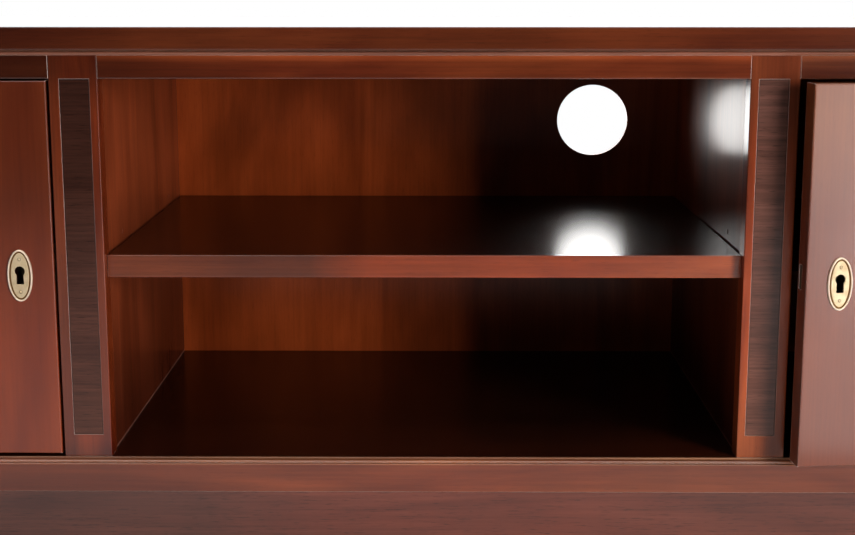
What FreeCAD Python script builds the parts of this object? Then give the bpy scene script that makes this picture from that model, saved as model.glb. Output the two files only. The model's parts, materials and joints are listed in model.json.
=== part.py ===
"""Television cabinet of dark mahogany: an open middle bay with a shelf, a flush door on each side.

Frame, in millimetres: X runs along the cabinet's width, the doors face -Y, and Z is up.
The origin lies on the ground, midway along the width and midway between the pilasters' faces
and the back. The left door is shut. The right door stands ajar.
"""
import FreeCAD, Part
import math
import os
import Sketcher

V = FreeCAD.Vector

# Turns that point a piece's own Z along +X, along +Y and towards the front, and a strip's way
# round the left side
ALONG_X = FreeCAD.Rotation(V(0, 1, 0), 90)
ALONG_Y = FreeCAD.Rotation(V(1, 0, 0), -90)
TO_FRONT = FreeCAD.Rotation(V(1, 0, 0), 90)
ROUND_LEFT = FreeCAD.Rotation(V(0, 0, 1), -90)

# How near two figures lie that are the same size: a share of a millimetre for telling edges apart
TOUCH = 1e-4

# How far a quarter round's arc rises over its chord, as a share of its radius
ARC_SHARE = 1 - math.sqrt(0.5)

# Knuckles of one hinge, shared by its two leaves by turns
KNUCKLES = 3

# Rows of shelf-pin holes, counted in pitches from the row that the shelf stands on
HOLE_ROWS = (0, 1)

# Driving sizes. Each row is a cell's name, its value and what it measures.
FRONT = [
    ("bay_width", 555, "open bay, between its two pilasters"),
    ("door_bay_width", 373.5, "door bay, between its two pilasters"),
    ("pilaster_width", 42, "pilaster, across the front"),
    ("pilaster_thick", 20, "pilaster and rail, front to back"),
    ("opening_tall", 334, "cabinet floor to the rails' underside"),
    ("rail_tall", 20, "top rail, and the pilaster beside it"),
    ("floor_high", 100, "ground to the cabinet floor"),
    ("carcass_deep", 400, "pilasters' faces to the back"),
    ("arris", 1.0, "rounding of a worked edge"),
]
CARCASS = [
    ("board_thick", 18, "top, floor, sides and partitions"),
    ("wall_setback", 1.5, "partition's face behind the pilaster's edge"),
    ("floor_nosing", 2, "floor's edge in front of the pilasters"),
    ("back_thick", 6, "back panels"),
    ("back_rebate", 8, "width of the sides' rebate for the back panels"),
    ("back_lap", 12, "back panels over the top's and floor's back edges"),
    ("panel_gap", 1, "between two back panels"),
    ("cable_hole_width", 78, "bore for cables in the middle back panel"),
    ("cable_hole_offset", 184, "bore's centre from the middle of the cabinet"),
    ("cable_hole_drop", 69, "bore's centre below the rails' underside"),
]
TOP = [
    ("top_thick", 19, "top board"),
    ("top_overhang", 15, "top board past the pilasters and sides"),
    ("bead_round", 3.5, "height of the bead's half round"),
    ("bead_quirk", 1.5, "height of the recess above the half round"),
    ("bead_reach", 3.5, "half round in front of the pilasters"),
    ("bead_seat", 26, "bead strip behind the pilasters' faces"),
]
BASE = [
    ("base_reach", 11, "base's face in front of the pilasters"),
    ("moulding_tall", 29, "cabinet floor to the base moulding's underside"),
    ("moulding_seat", 14, "base moulding under the cabinet floor"),
    ("quirk_drop", 2.2, "cabinet floor to the quirk's bottom"),
    ("quirk_width", 0.8, "quirk between the floor's edge and the bead"),
    ("nose_width", 5.0, "bead along the base moulding's top"),
    ("nose_rise", 1.3, "bead's crown above the quirk"),
    ("shoulder_drop", 3.2, "cabinet floor to the moulding's outer shoulder"),
    ("shoulder_round", 1.0, "rounding at the shoulder's outer edge"),
    ("plinth_thick", 18, "plinth boards"),
    ("plinth_border", 20, "plain wood below and beside the plinth's inlay"),
    ("block_width", 42, "corner block"),
    ("glide_tall", 3, "ground to the plinth"),
    ("glide_width", 16, "square floor glide"),
]
INLAY = [
    ("inlay_width", 25.8, "dark strip let into a pilaster"),
    ("inlay_bay_border", 7.1, "plain wood beside the strip, away from the door"),
    ("inlay_end_border", 20, "plain wood below and above the strip"),
    ("inlay_thick", 1.5, "dark strip"),
    ("inlay_sink", 0.15, "strip's face behind the wood round it"),
    ("inlay_gap", 0.15, "round a strip in its recess"),
]
SHELVES = [
    ("shelf_thick", 20, "middle shelf"),
    ("side_shelf_thick", 18, "shelves behind the doors"),
    ("shelf_headroom", 154, "shelves' upper face below the rails' underside"),
    ("shelf_setback", 10.7, "middle shelf's edge behind the pilasters' faces"),
    ("side_shelf_setback", 45, "side shelves' edge behind the pilasters' faces"),
    ("shelf_side_gap", 1.85, "between a shelf's end and the wall"),
    ("shelf_back_gap", 2, "between a shelf and the back panel"),
    ("lipping_thick", 5, "strip along the middle shelf's edge"),
    ("pin_width", 5, "shelf pin"),
    ("pin_play", 0.05, "radial, pin in its hole"),
    ("pin_reach", 8, "shelf pin in front of the wall"),
    ("pin_seat", 8, "shelf pin in the wall"),
    ("hole_play", 1, "hole deeper than the pin"),
    ("hole_pitch", 32, "between holes of one column"),
    ("front_column", 83.5, "front holes behind the pilasters' faces"),
    ("rear_column", 70, "rear holes in front of the back panel"),
]
DOORS = [
    ("door_thick", 20, "door"),
    ("door_gap_free", 2.5, "between the door's free edge and the pilaster"),
    ("door_gap_hinge", 2.0, "between the door's hinged edge and the pilaster"),
    ("door_gap_top", 1.5, "between the door and the rail"),
    ("door_gap_floor", 2.5, "between the door and the cabinet floor"),
    ("ajar", 5.4, "degrees that the right door stands open"),
    ("stop_wide", 30, "door stop"),
    ("stop_tall", 12, "door stop, below the carcass top"),
    ("stop_deep", 14, "door stop"),
    ("stop_inset", 60, "door stop from the pilaster at the free edge"),
    ("stop_play", 0.3, "between a shut door and its stop"),
]
HINGES = [
    ("hinge_tall", 60, "hinge"),
    ("hinge_inset", 45, "hinge from the door's top or foot"),
    ("pin_proud", 3.5, "hinge pin's centre in front of the door's face"),
    ("knuckle_radius", 3.2, "hinge knuckle"),
    ("knuckle_play", 0.3, "between two knuckles"),
    ("leaf_thick", 1.3, "hinge leaf"),
    ("leaf_apart", 0.3, "between the two leaves of a shut hinge"),
    ("leaf_reach", 15, "hinge leaf behind the door's face"),
    ("hinge_pin_radius", 1.6, "hinge pin"),
    ("hinge_pin_play", 0.05, "radial, hinge pin in its knuckles"),
]
LOCKS = [
    ("key_inset", 29.5, "keyhole from the door's free edge"),
    ("key_round", 8.9, "keyhole's round"),
    ("key_slot", 6.1, "keyhole's slot where it leaves the round"),
    ("key_slot_foot", 6.6, "keyhole's slot at its foot"),
    ("key_tall", 16, "keyhole, from top to foot"),
    ("plate_width", 22, "oval key plate"),
    ("plate_tall", 46, "oval key plate"),
    ("plate_drop", 3.8, "key plate's middle below the keyhole's round"),
    ("plate_thick", 2.2, "key plate's rim"),
    ("plate_rim", 2.4, "rim, from the edge to the sunk field"),
    ("plate_sink", 0.8, "field below the rim's crown"),
    ("lock_inset", 8, "lock case from the door's free edge"),
    ("lock_wide", 42, "lock case"),
    ("lock_tall", 44, "lock case"),
    ("lock_deep", 12, "lock case, let into the door's back"),
    ("key_chamber", 7, "keyhole inside the lock case"),
    ("bolt_thick", 6, "lock bolt, front to back"),
    ("bolt_tall", 20, "lock bolt"),
    ("bolt_long", 18, "lock bolt"),
    ("bolt_rest", 0.5, "drawn bolt's end behind the door's edge"),
    ("bolt_throw", 10, "bolt's travel"),
    ("bolt_play", 0.5, "round the bolt in its slot and mortise"),
    ("bolt_back", 3, "bolt in front of the door's back"),
    ("strike_thick", 1.2, "strike plate"),
    ("strike_tall", 44, "strike plate"),
    ("strike_border", 2.5, "strike plate in front of and behind its hole"),
]
CUTS = [
    ("overrun", 5, "how far a cut runs past the wood"),
]
GROUPS = (FRONT, CARCASS, TOP, BASE, INLAY, SHELVES, DOORS, HINGES, LOCKS, CUTS)


class Size:
    """A size worked out from the sheet's cells: its formula and its present number."""

    def __init__(self, formula, number):
        self.formula = formula
        self.number = number

    def __add__(self, other):
        other = as_size(other)
        return Size(f"({self.formula} + {other.formula})", self.number + other.number)

    def __sub__(self, other):
        other = as_size(other)
        return Size(f"({self.formula} - {other.formula})", self.number - other.number)

    def __mul__(self, other):
        other = as_size(other)
        return Size(f"({self.formula} * {other.formula})", self.number * other.number)

    def __truediv__(self, other):
        other = as_size(other)
        return Size(f"({self.formula} / {other.formula})", self.number / other.number)

    def __radd__(self, other):
        return as_size(other) + self

    def __rsub__(self, other):
        return as_size(other) - self

    def __rmul__(self, other):
        return as_size(other) * self

    def __neg__(self):
        return 0 - self


def as_size(value):
    """A plain number as a size."""
    return value if isinstance(value, Size) else Size(repr(value), value)


def root(value):
    """Square root of a size."""
    return Size(f"sqrt({value.formula})", math.sqrt(value.number))


class Dimensions:
    """Every cell of the sheet by name, and the lines that several pieces share."""


def fill_sheet(doc):
    """Write the driving sizes into the sheet, one row each, and return them by name."""
    sheet = doc.addObject("Spreadsheet::Sheet", "Sizes")
    dims = Dimensions()
    rows = [row for group in GROUPS for row in group]
    for number, (name, value, note) in enumerate(rows, start=1):
        sheet.set(f"A{number}", name)
        sheet.set(f"B{number}", str(value))
        sheet.setAlias(f"B{number}", name)
        sheet.set(f"C{number}", note)
        setattr(dims, name, Size(f"Sizes.{name}", value))
    return dims


def add_lines(dims):
    """Planes and edges that more than one piece is placed by."""
    dims.face = -dims.carcass_deep / 2
    dims.rear = dims.carcass_deep / 2
    dims.half_bay = dims.bay_width / 2
    dims.bay_jamb = dims.half_bay + dims.pilaster_width
    dims.end_jamb = dims.bay_jamb + dims.door_bay_width
    dims.half_carcass = dims.end_jamb + dims.pilaster_width
    dims.wall = dims.half_bay + dims.wall_setback
    dims.wall_back = dims.wall + dims.board_thick
    dims.side_wall = dims.half_carcass - dims.board_thick
    dims.frame_back = dims.face + dims.pilaster_thick
    dims.panel_face = dims.rear - dims.back_thick
    dims.rail_foot = dims.floor_high + dims.opening_tall
    dims.carcass_head = dims.rail_foot + dims.rail_tall
    dims.top_foot = dims.carcass_head + dims.bead_round + dims.bead_quirk
    dims.ceiling = dims.carcass_head - dims.board_thick
    dims.moulding_foot = dims.floor_high - dims.moulding_tall
    dims.floor_foot = dims.floor_high - dims.board_thick
    dims.shelf_face = dims.rail_foot - dims.shelf_headroom
    dims.shelf_back = dims.panel_face - dims.shelf_back_gap
    dims.shelf_end = dims.wall - dims.shelf_side_gap
    dims.seam = (dims.wall + dims.wall_back) / 2
    dims.door_foot = dims.floor_high + dims.door_gap_floor
    dims.door_head = dims.rail_foot - dims.door_gap_top
    dims.door_back = dims.face + dims.door_thick
    dims.free_edge = -(dims.bay_jamb + dims.door_gap_free)
    dims.hung_edge = -(dims.end_jamb - dims.door_gap_hinge)
    dims.hinge_x = -(dims.end_jamb - dims.door_gap_hinge / 2)
    dims.hinge_y = dims.face - dims.pin_proud
    dims.leaf_half = dims.leaf_apart / 2 + dims.leaf_thick
    dims.leaf_sink = dims.leaf_half - dims.door_gap_hinge / 2
    dims.hinge_feet = (dims.door_foot + dims.hinge_inset,
                       dims.door_head - dims.hinge_inset - dims.hinge_tall)
    dims.key_x = dims.free_edge - dims.key_inset
    dims.key_z = (dims.door_foot + dims.door_head) / 2
    dims.bolt_face = dims.door_back - dims.bolt_back - dims.bolt_thick
    dims.bolt_foot = dims.key_z - dims.bolt_tall / 2
    dims.columns = (dims.face + dims.front_column, dims.panel_face - dims.rear_column)


# Shared working steps

def bind(thing, name, value):
    """Tie one property to the sheet."""
    thing.setExpression(name, as_size(value).formula)


def place(thing, x=0, y=0, z=0):
    """Tie a piece's place to the sheet."""
    for axis, value in zip("xyz", (x, y, z)):
        bind(thing, f"Placement.Base.{axis}", value)
    return thing


def block(doc, name, low, high):
    """Square-edged block between two corners."""
    box = doc.addObject("Part::Box", name)
    for side, near, far in zip(("Length", "Width", "Height"), low, high):
        bind(box, side, far - near)
    return place(box, *low)


def drill(doc, name, start, radius, depth, turn):
    """Round bar from its start, along Z before it is turned, used as a drill or a pin."""
    bar = doc.addObject("Part::Cylinder", name)
    bind(bar, "Radius", radius)
    bind(bar, "Height", depth)
    bar.Placement = FreeCAD.Placement(V(), turn)
    return place(bar, *start)


def cut(doc, name, base, tools):
    """Base with each tool taken out of it."""
    tool = tools[0]
    if len(tools) > 1:
        tool = doc.addObject("Part::MultiFuse", f"{name}_tools")
        tool.Shapes = tools
    result = doc.addObject("Part::Cut", name)
    result.Base = base
    result.Tool = tool
    return result


def mirrored(doc, name, source):
    """Right-hand twin of a left-hand piece."""
    twin = doc.addObject("Part::Mirroring", name)
    twin.Source = source
    twin.Normal = V(1, 0, 0)
    return twin


def mirrored_ajar(doc, name, source, dims):
    """Right-hand twin of a piece of the left door, swung open about its own hinges."""
    twin = mirrored(doc, name, source)
    angle = f"{dims.ajar.formula} * 1 deg"
    pivot_x = (-dims.hinge_x).formula
    pivot_y = dims.hinge_y.formula
    bind(twin, "Placement.Rotation.Angle", dims.ajar)
    twin.setExpression("Placement.Base.x", f"{pivot_x} * (1 - cos({angle})) + {pivot_y} * sin({angle})")
    twin.setExpression("Placement.Base.y", f"{pivot_y} * (1 - cos({angle})) - {pivot_x} * sin({angle})")
    return twin


def pair(doc, name, left):
    """Left-hand piece and its right-hand twin in one node."""
    both = doc.addObject("Part::Compound", name)
    both.Links = [left, mirrored(doc, f"{name}_twin", left)]
    return both


def group(doc, name, shapes):
    """Identical pieces in one node, each a solid of its own."""
    holder = doc.addObject("Part::Feature", name)
    holder.Shape = Part.makeCompound(shapes)
    return holder


def moved(shape, x, y, z):
    """Copy of a shape, shifted by three sizes."""
    copy = shape.copy()
    copy.translate(V(as_size(x).number, as_size(y).number, as_size(z).number))
    return copy


def origin_plane(body, role):
    """One of the body's own planes."""
    return next(item for item in body.Origin.OriginFeatures if item.Role == role)


def new_sketch(body, role, name, lift=0):
    """Sketch on one of the body's own planes, lifted along the plane's normal."""
    sketch = body.newObject("Sketcher::SketchObject", name)
    sketch.AttachmentSupport = (origin_plane(body, role), [""])
    sketch.MapMode = "FlatFace"
    bind(sketch, "AttachmentOffset.Base.z", lift)
    return sketch


def fix(sketch, kind, *target, value):
    """Constraint whose measure follows the sheet."""
    value = as_size(value)
    number = sketch.addConstraint(Sketcher.Constraint(kind, *target, float(value.number)))
    bind(sketch, f"Constraints[{number}]", value)


def draw(sketch, corners):
    """Closed outline through its corners. A corner's third value is the rise of an arc that
    starts there and bulges to the left of the way that the outline runs."""
    points = [V(as_size(corner[0]).number, as_size(corner[1]).number, 0) for corner in corners]
    count = len(corners)
    sides = []
    for index, corner in enumerate(corners):
        start, end = points[index], points[(index + 1) % count]
        curve = Part.LineSegment(start, end)
        if len(corner) > 2:
            chord = end - start
            out = V(-chord.y, chord.x, 0).normalize()
            curve = Part.Arc(start, (start + end) / 2 + out * corner[2].number, end)
        side = sketch.addGeometry(curve, False)
        one, two = sketch.getPoint(side, 1), sketch.getPoint(side, 2)
        turned = one.distanceToPoint(start) > two.distanceToPoint(start)
        sides.append((side, 2, 1) if turned else (side, 1, 2))
    for index, corner in enumerate(corners):
        side, start, end = sides[index]
        follower, joint, _ = sides[(index + 1) % count]
        sketch.addConstraint(Sketcher.Constraint("Coincident", side, end, follower, joint))
        fix(sketch, "DistanceX", -1, 1, side, start, value=corner[0])
        fix(sketch, "DistanceY", -1, 1, side, start, value=corner[1])
        if len(corner) > 2:
            centre_arc(sketch, side, corner, corners[(index + 1) % count])
    return sketch


def centre_arc(sketch, side, corner, after):
    """Place an arc's centre from its two ends and its rise, along the longer way of the chord's
    normal. The ends fix the rest."""
    wide, tall, rise = after[0] - corner[0], after[1] - corner[1], corner[2]
    chord = root(wide * wide + tall * tall)
    radius = (chord * chord / 4 + rise * rise) / (2 * rise)
    shift = (rise - radius) / chord
    if abs(as_size(tall).number) > abs(as_size(wide).number):
        fix(sketch, "DistanceX", -1, 1, side, 3, value=(corner[0] + after[0]) / 2 - tall * shift)
    else:
        fix(sketch, "DistanceY", -1, 1, side, 3, value=(corner[1] + after[1]) / 2 + wide * shift)


def ring(sketch, x, y, radius):
    """Circle in a sketch."""
    centre = V(as_size(x).number, as_size(y).number, 0)
    side = sketch.addGeometry(Part.Circle(centre, V(0, 0, 1), radius.number), False)
    fix(sketch, "DistanceX", -1, 1, side, 3, value=x)
    fix(sketch, "DistanceY", -1, 1, side, 3, value=y)
    fix(sketch, "Radius", side, value=radius)
    return sketch


def pad(body, sketch, length, midplane=False):
    """Raise a sketch into the body, from its plane or to both sides of it."""
    feature = body.newObject("PartDesign::Pad", f"{sketch.Name}_pad")
    feature.Profile = sketch
    feature.Midplane = midplane
    bind(feature, "Length", length)
    return feature


def pocket_through(body, sketch):
    """Cut the sketch out of the body, all the way on both sides of its plane."""
    feature = body.newObject("PartDesign::Pocket", f"{sketch.Name}_pocket")
    feature.Profile = sketch
    feature.Type = "ThroughAll"
    feature.Midplane = True
    return feature


def ease(doc, body, radius, chosen):
    """Round the body's edges whose middle the rule chooses."""
    doc.recompute()
    base = body.Tip
    names = [f"Edge{number}" for number, edge in enumerate(base.Shape.Edges, start=1)
             if chosen(edge.BoundBox)]
    feature = body.newObject("PartDesign::Fillet", f"{body.Name}_eased")
    feature.Base = (base, names)
    bind(feature, "Radius", radius)
    return feature


def board(doc, name, low, high):
    """Body of one rectangular board between two corners."""
    body = doc.addObject("PartDesign::Body", name)
    wide, deep, tall = (far - near for near, far in zip(low, high))
    sketch = new_sketch(body, "XY_Plane", f"{name}_outline")
    draw(sketch, [(0, 0), (wide, 0), (wide, deep), (0, deep)])
    pad(body, sketch, tall)
    return place(body, *low)


def front_edges(box):
    """Edges round the board's front face."""
    return box.YMax < TOUCH


def front_uprights(box):
    """Upright edges of the board's front face."""
    return box.YMax < TOUCH and box.ZLength > TOUCH


def front_levels(box):
    """Level edges of the board's front face."""
    return box.YMax < TOUCH and box.XLength > TOUCH


def strip(doc, name, profile, half_length, reach, seat, mitres, dims):
    """Strip along X with the profile drawn in Y and Z, and its two ends cut. The faces that it
    wraps lie at Y = 0 and the reach is outward, towards -Y. An end is mitred or square."""
    body = doc.addObject("PartDesign::Body", name)
    sketch = draw(new_sketch(body, "YZ_Plane", f"{name}_profile"), profile)
    pad(body, sketch, 2 * (half_length + reach + dims.overrun), midplane=True)
    beyond = reach + dims.overrun
    inside = seat + dims.overrun
    ends = new_sketch(body, "XY_Plane", f"{name}_ends")
    for side, mitre in zip((-1, 1), mitres):
        last = half_length + beyond + dims.overrun
        front_x = half_length + beyond if mitre else half_length
        back_x = half_length - inside if mitre else half_length
        draw(ends, [(side * front_x, -beyond), (side * last, -beyond), (side * last, inside),
                    (side * back_x, inside)][::side])
    pocket_through(body, ends)
    return body


# Top

def make_top(doc, dims):
    """Top board with eased edges, on mitred bead strips at three sides and a plain one behind."""
    half = dims.half_carcass + dims.top_overhang
    top = board(doc, "top_board", (-half, dims.face - dims.top_overhang, dims.top_foot),
                (half, dims.rear, dims.top_foot + dims.top_thick))
    ease(doc, top, dims.arris, lambda box: front_levels(box) or box.YLength > TOUCH)

    crown = dims.bead_round / 2
    head = dims.bead_round + dims.bead_quirk
    profile = [(dims.bead_seat, 0), (crown - dims.bead_reach, 0, crown),
               (crown - dims.bead_reach, dims.bead_round), (0, dims.bead_round), (0, head),
               (dims.bead_seat, head)]
    front = strip(doc, "top_bead_front", profile, dims.half_carcass, dims.bead_reach,
                  dims.bead_seat, (True, True), dims)
    place(front, 0, dims.face, dims.carcass_head)
    left = strip(doc, "top_bead_left", profile, dims.carcass_deep / 2, dims.bead_reach,
                 dims.bead_seat, (False, True), dims)
    left.Placement = FreeCAD.Placement(V(), ROUND_LEFT)
    place(left, -dims.half_carcass, 0, dims.carcass_head)
    right = mirrored(doc, "top_bead_right", left)

    inner = dims.half_carcass - dims.bead_seat
    spacer = block(doc, "top_spacer_back", (-inner, dims.rear - dims.bead_seat, dims.carcass_head),
                   (inner, dims.rear, dims.top_foot))
    return [top, front, left, right, spacer]


# Carcass

def pin_holes(doc, name, dims, start_x, depth):
    """Two columns of holes for shelf pins, drilled along +X."""
    pin_z = dims.shelf_face - dims.shelf_thick - dims.pin_width / 2
    radius = dims.pin_width / 2 + dims.pin_play
    return [drill(doc, f"{name}_hole_{row}_{column}", (start_x, y, pin_z + row * dims.hole_pitch),
                  radius, depth, ALONG_X)
            for column, y in enumerate(dims.columns) for row in HOLE_ROWS]


def make_carcass(doc, dims):
    """Floor, ceiling, two sides and two partitions."""
    nosed = dims.half_carcass + dims.floor_nosing
    floor = board(doc, "carcass_floor", (-nosed, dims.face - dims.floor_nosing, dims.floor_foot),
                  (nosed, dims.panel_face, dims.floor_high))
    ease(doc, floor, dims.arris,
         lambda box: box.ZMin > TOUCH and (front_levels(box) or box.YLength > TOUCH))
    ceiling = block(doc, "carcass_top", (-dims.side_wall, dims.frame_back, dims.ceiling),
                    (dims.side_wall, dims.panel_face, dims.carcass_head))

    plank = block(doc, "left_side_board", (-dims.half_carcass, dims.frame_back, dims.floor_high),
                  (-dims.side_wall, dims.rear, dims.carcass_head))
    beyond = dims.overrun
    rebate = block(doc, "left_side_rebate",
                   (-dims.side_wall - dims.back_rebate, dims.panel_face, dims.floor_high - beyond),
                   (-dims.side_wall + beyond, dims.rear + beyond, dims.carcass_head + beyond))
    depth = dims.pin_seat + dims.hole_play
    holes = pin_holes(doc, "left_side", dims, -dims.side_wall - depth, depth + dims.overrun)
    left_side = cut(doc, "left_side", plank, [rebate] + holes)

    plank = block(doc, "left_partition_board", (-dims.wall_back, dims.frame_back, dims.floor_high),
                  (-dims.wall, dims.panel_face, dims.ceiling))
    holes = pin_holes(doc, "left_partition", dims, -dims.wall_back - dims.overrun,
                      dims.board_thick + 2 * dims.overrun)
    left_partition = cut(doc, "left_partition", plank, holes)
    return [floor, ceiling, left_side, mirrored(doc, "right_side", left_side),
            left_partition, mirrored(doc, "right_partition", left_partition)]


def make_back(doc, dims):
    """Three back panels, with the bore for cables in the middle one."""
    foot = dims.floor_high - dims.back_lap
    head = dims.ceiling + dims.back_lap
    half_gap = dims.panel_gap / 2
    half = dims.seam - half_gap
    panel = block(doc, "centre_back_board", (-half, dims.panel_face, foot), (half, dims.rear, head))
    bore = drill(doc, "cable_hole",
                 (dims.cable_hole_offset, dims.panel_face - dims.overrun,
                  dims.rail_foot - dims.cable_hole_drop),
                 dims.cable_hole_width / 2, dims.back_thick + 2 * dims.overrun, ALONG_Y)
    centre = cut(doc, "centre_back_panel", panel, [bore])
    far = dims.side_wall + dims.back_rebate - half_gap
    left = block(doc, "left_back_panel", (-far, dims.panel_face, foot),
                 (-dims.seam - half_gap, dims.rear, head))
    return [centre, left, mirrored(doc, "right_back_panel", left)]


def make_rails(doc, dims):
    """Top rails between the pilasters, their lower front edge eased."""
    def rail(name, near, far):
        body = board(doc, name, (near, dims.face, dims.rail_foot),
                     (far, dims.frame_back, dims.carcass_head))
        ease(doc, body, dims.arris, lambda box: box.YMax < TOUCH and box.ZMax < TOUCH)
        return body
    centre = rail("centre_top_rail", -dims.half_bay, dims.half_bay)
    left = rail("left_top_rail", -dims.end_jamb, -dims.bay_jamb)
    return [centre, left, mirrored(doc, "right_top_rail", left)]


def make_pilasters(doc, dims):
    """Inner and outer pilasters, each with a recess for its inlay and its long edges eased. The
    inner one has a mortise for the lock's bolt and the outer one a seat for each hinge leaf."""
    sunk = dims.inlay_thick + dims.inlay_sink
    inlay_foot = dims.floor_high + dims.inlay_end_border
    inlay_head = dims.carcass_head - dims.inlay_end_border
    tall = dims.carcass_head - dims.floor_high

    def pilaster(name, low_x, inlay_x, tools):
        body = board(doc, f"{name}_stile", (low_x, dims.face, dims.floor_high),
                     (low_x + dims.pilaster_width, dims.frame_back, dims.floor_high + tall))
        ease(doc, body, dims.arris, front_uprights)
        recess = block(doc, f"{name}_recess", (inlay_x, dims.face - dims.overrun, inlay_foot),
                       (inlay_x + dims.inlay_width, dims.face + sunk, inlay_head))
        return cut(doc, name, body, [recess] + tools)

    def inlay(name, inlay_x):
        gap = dims.inlay_gap
        return block(doc, name, (inlay_x + gap, dims.face + dims.inlay_sink, inlay_foot + gap),
                     (inlay_x + dims.inlay_width - gap, dims.face + sunk, inlay_head - gap))

    door_side = dims.pilaster_width - dims.inlay_width - dims.inlay_bay_border
    inner_x = -dims.bay_jamb + door_side
    outer_x = -dims.half_carcass + dims.inlay_bay_border
    inner = pilaster("left_inner_pilaster", -dims.bay_jamb, inner_x, bolt_mortise(doc, dims))
    outer = pilaster("left_outer_pilaster", -dims.half_carcass, outer_x, leaf_seats(doc, "frame", dims))
    inner_inlay = inlay("left_inner_inlay", inner_x)
    outer_inlay = inlay("left_outer_inlay", outer_x)
    pieces = [inner, outer, inner_inlay, outer_inlay]
    return pieces + [mirrored(doc, piece.Name.replace("left", "right"), piece) for piece in pieces]


def bolt_mortise(doc, dims):
    """Mortise for the bolt, and the strike plate's seat round it, in the left inner pilaster."""
    play = dims.bolt_play
    deep = dims.bolt_throw - dims.bolt_rest - dims.door_gap_free + play + dims.hole_play
    side = -dims.bay_jamb
    mortise = block(doc, "bolt_mortise",
                    (side - dims.overrun, dims.bolt_face - play, dims.bolt_foot - play),
                    (side + deep, dims.bolt_face + dims.bolt_thick + play,
                     dims.bolt_foot + dims.bolt_tall + play))
    border = play + dims.strike_border
    seat = block(doc, "strike_seat",
                 (side - dims.overrun, dims.bolt_face - border, dims.key_z - dims.strike_tall / 2),
                 (side + dims.strike_thick, dims.bolt_face + dims.bolt_thick + border,
                  dims.key_z + dims.strike_tall / 2))
    return [mortise, seat]


def make_strikes(doc, dims):
    """Brass plate round the bolt's mortise, flush with the pilaster's side."""
    play = dims.bolt_play
    border = play + dims.strike_border
    side = -dims.bay_jamb
    plate = block(doc, "strike_blank",
                  (side, dims.bolt_face - border, dims.key_z - dims.strike_tall / 2),
                  (side + dims.strike_thick, dims.bolt_face + dims.bolt_thick + border,
                   dims.key_z + dims.strike_tall / 2))
    hole = block(doc, "strike_hole",
                 (side - dims.overrun, dims.bolt_face - play, dims.bolt_foot - play),
                 (side + dims.overrun, dims.bolt_face + dims.bolt_thick + play,
                  dims.bolt_foot + dims.bolt_tall + play))
    left = cut(doc, "left_strike", plate, [hole])
    return [pair(doc, "strike_plates", left)]


def make_stops(doc, dims):
    """Block under the carcass top behind each door's free corner, which stops the shut door."""
    near = -dims.bay_jamb - dims.stop_inset
    left = block(doc, "left_stop",
                 (near - dims.stop_wide, dims.door_back + dims.stop_play, dims.ceiling - dims.stop_tall),
                 (near, dims.door_back + dims.stop_play + dims.stop_deep, dims.ceiling))
    return [pair(doc, "door_stops", left)]


# Base

def make_base_moulding(doc, dims):
    """Mitred moulding round three sides: a quirk, a bead and a square shoulder over a plain face,
    rebated behind to take the floor's edge."""
    nosing = -dims.floor_nosing
    bead_in = nosing - dims.quirk_width
    bead_out = bead_in - dims.nose_width
    outer = -dims.base_reach
    round_in = outer + dims.shoulder_round
    easing = dims.shoulder_round * ARC_SHARE
    profile = [(dims.moulding_seat, -dims.moulding_tall), (outer, -dims.moulding_tall),
               (outer, -dims.shoulder_drop - dims.shoulder_round, easing),
               (round_in, -dims.shoulder_drop),
               (bead_out, -dims.shoulder_drop), (bead_out, -dims.quirk_drop, dims.nose_rise),
               (bead_in, -dims.quirk_drop), (nosing, -dims.quirk_drop),
               (nosing, -dims.board_thick), (dims.moulding_seat, -dims.board_thick)]
    front = strip(doc, "base_moulding_front", profile, dims.half_carcass, dims.base_reach,
                  dims.moulding_seat, (True, True), dims)
    place(front, 0, dims.face, dims.floor_high)
    left = strip(doc, "base_moulding_left", profile, dims.carcass_deep / 2, dims.base_reach,
                 dims.moulding_seat, (False, True), dims)
    left.Placement = FreeCAD.Placement(V(), ROUND_LEFT)
    place(left, -dims.half_carcass, 0, dims.floor_high)
    return [front, left, mirrored(doc, "base_moulding_right", left)]


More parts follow.
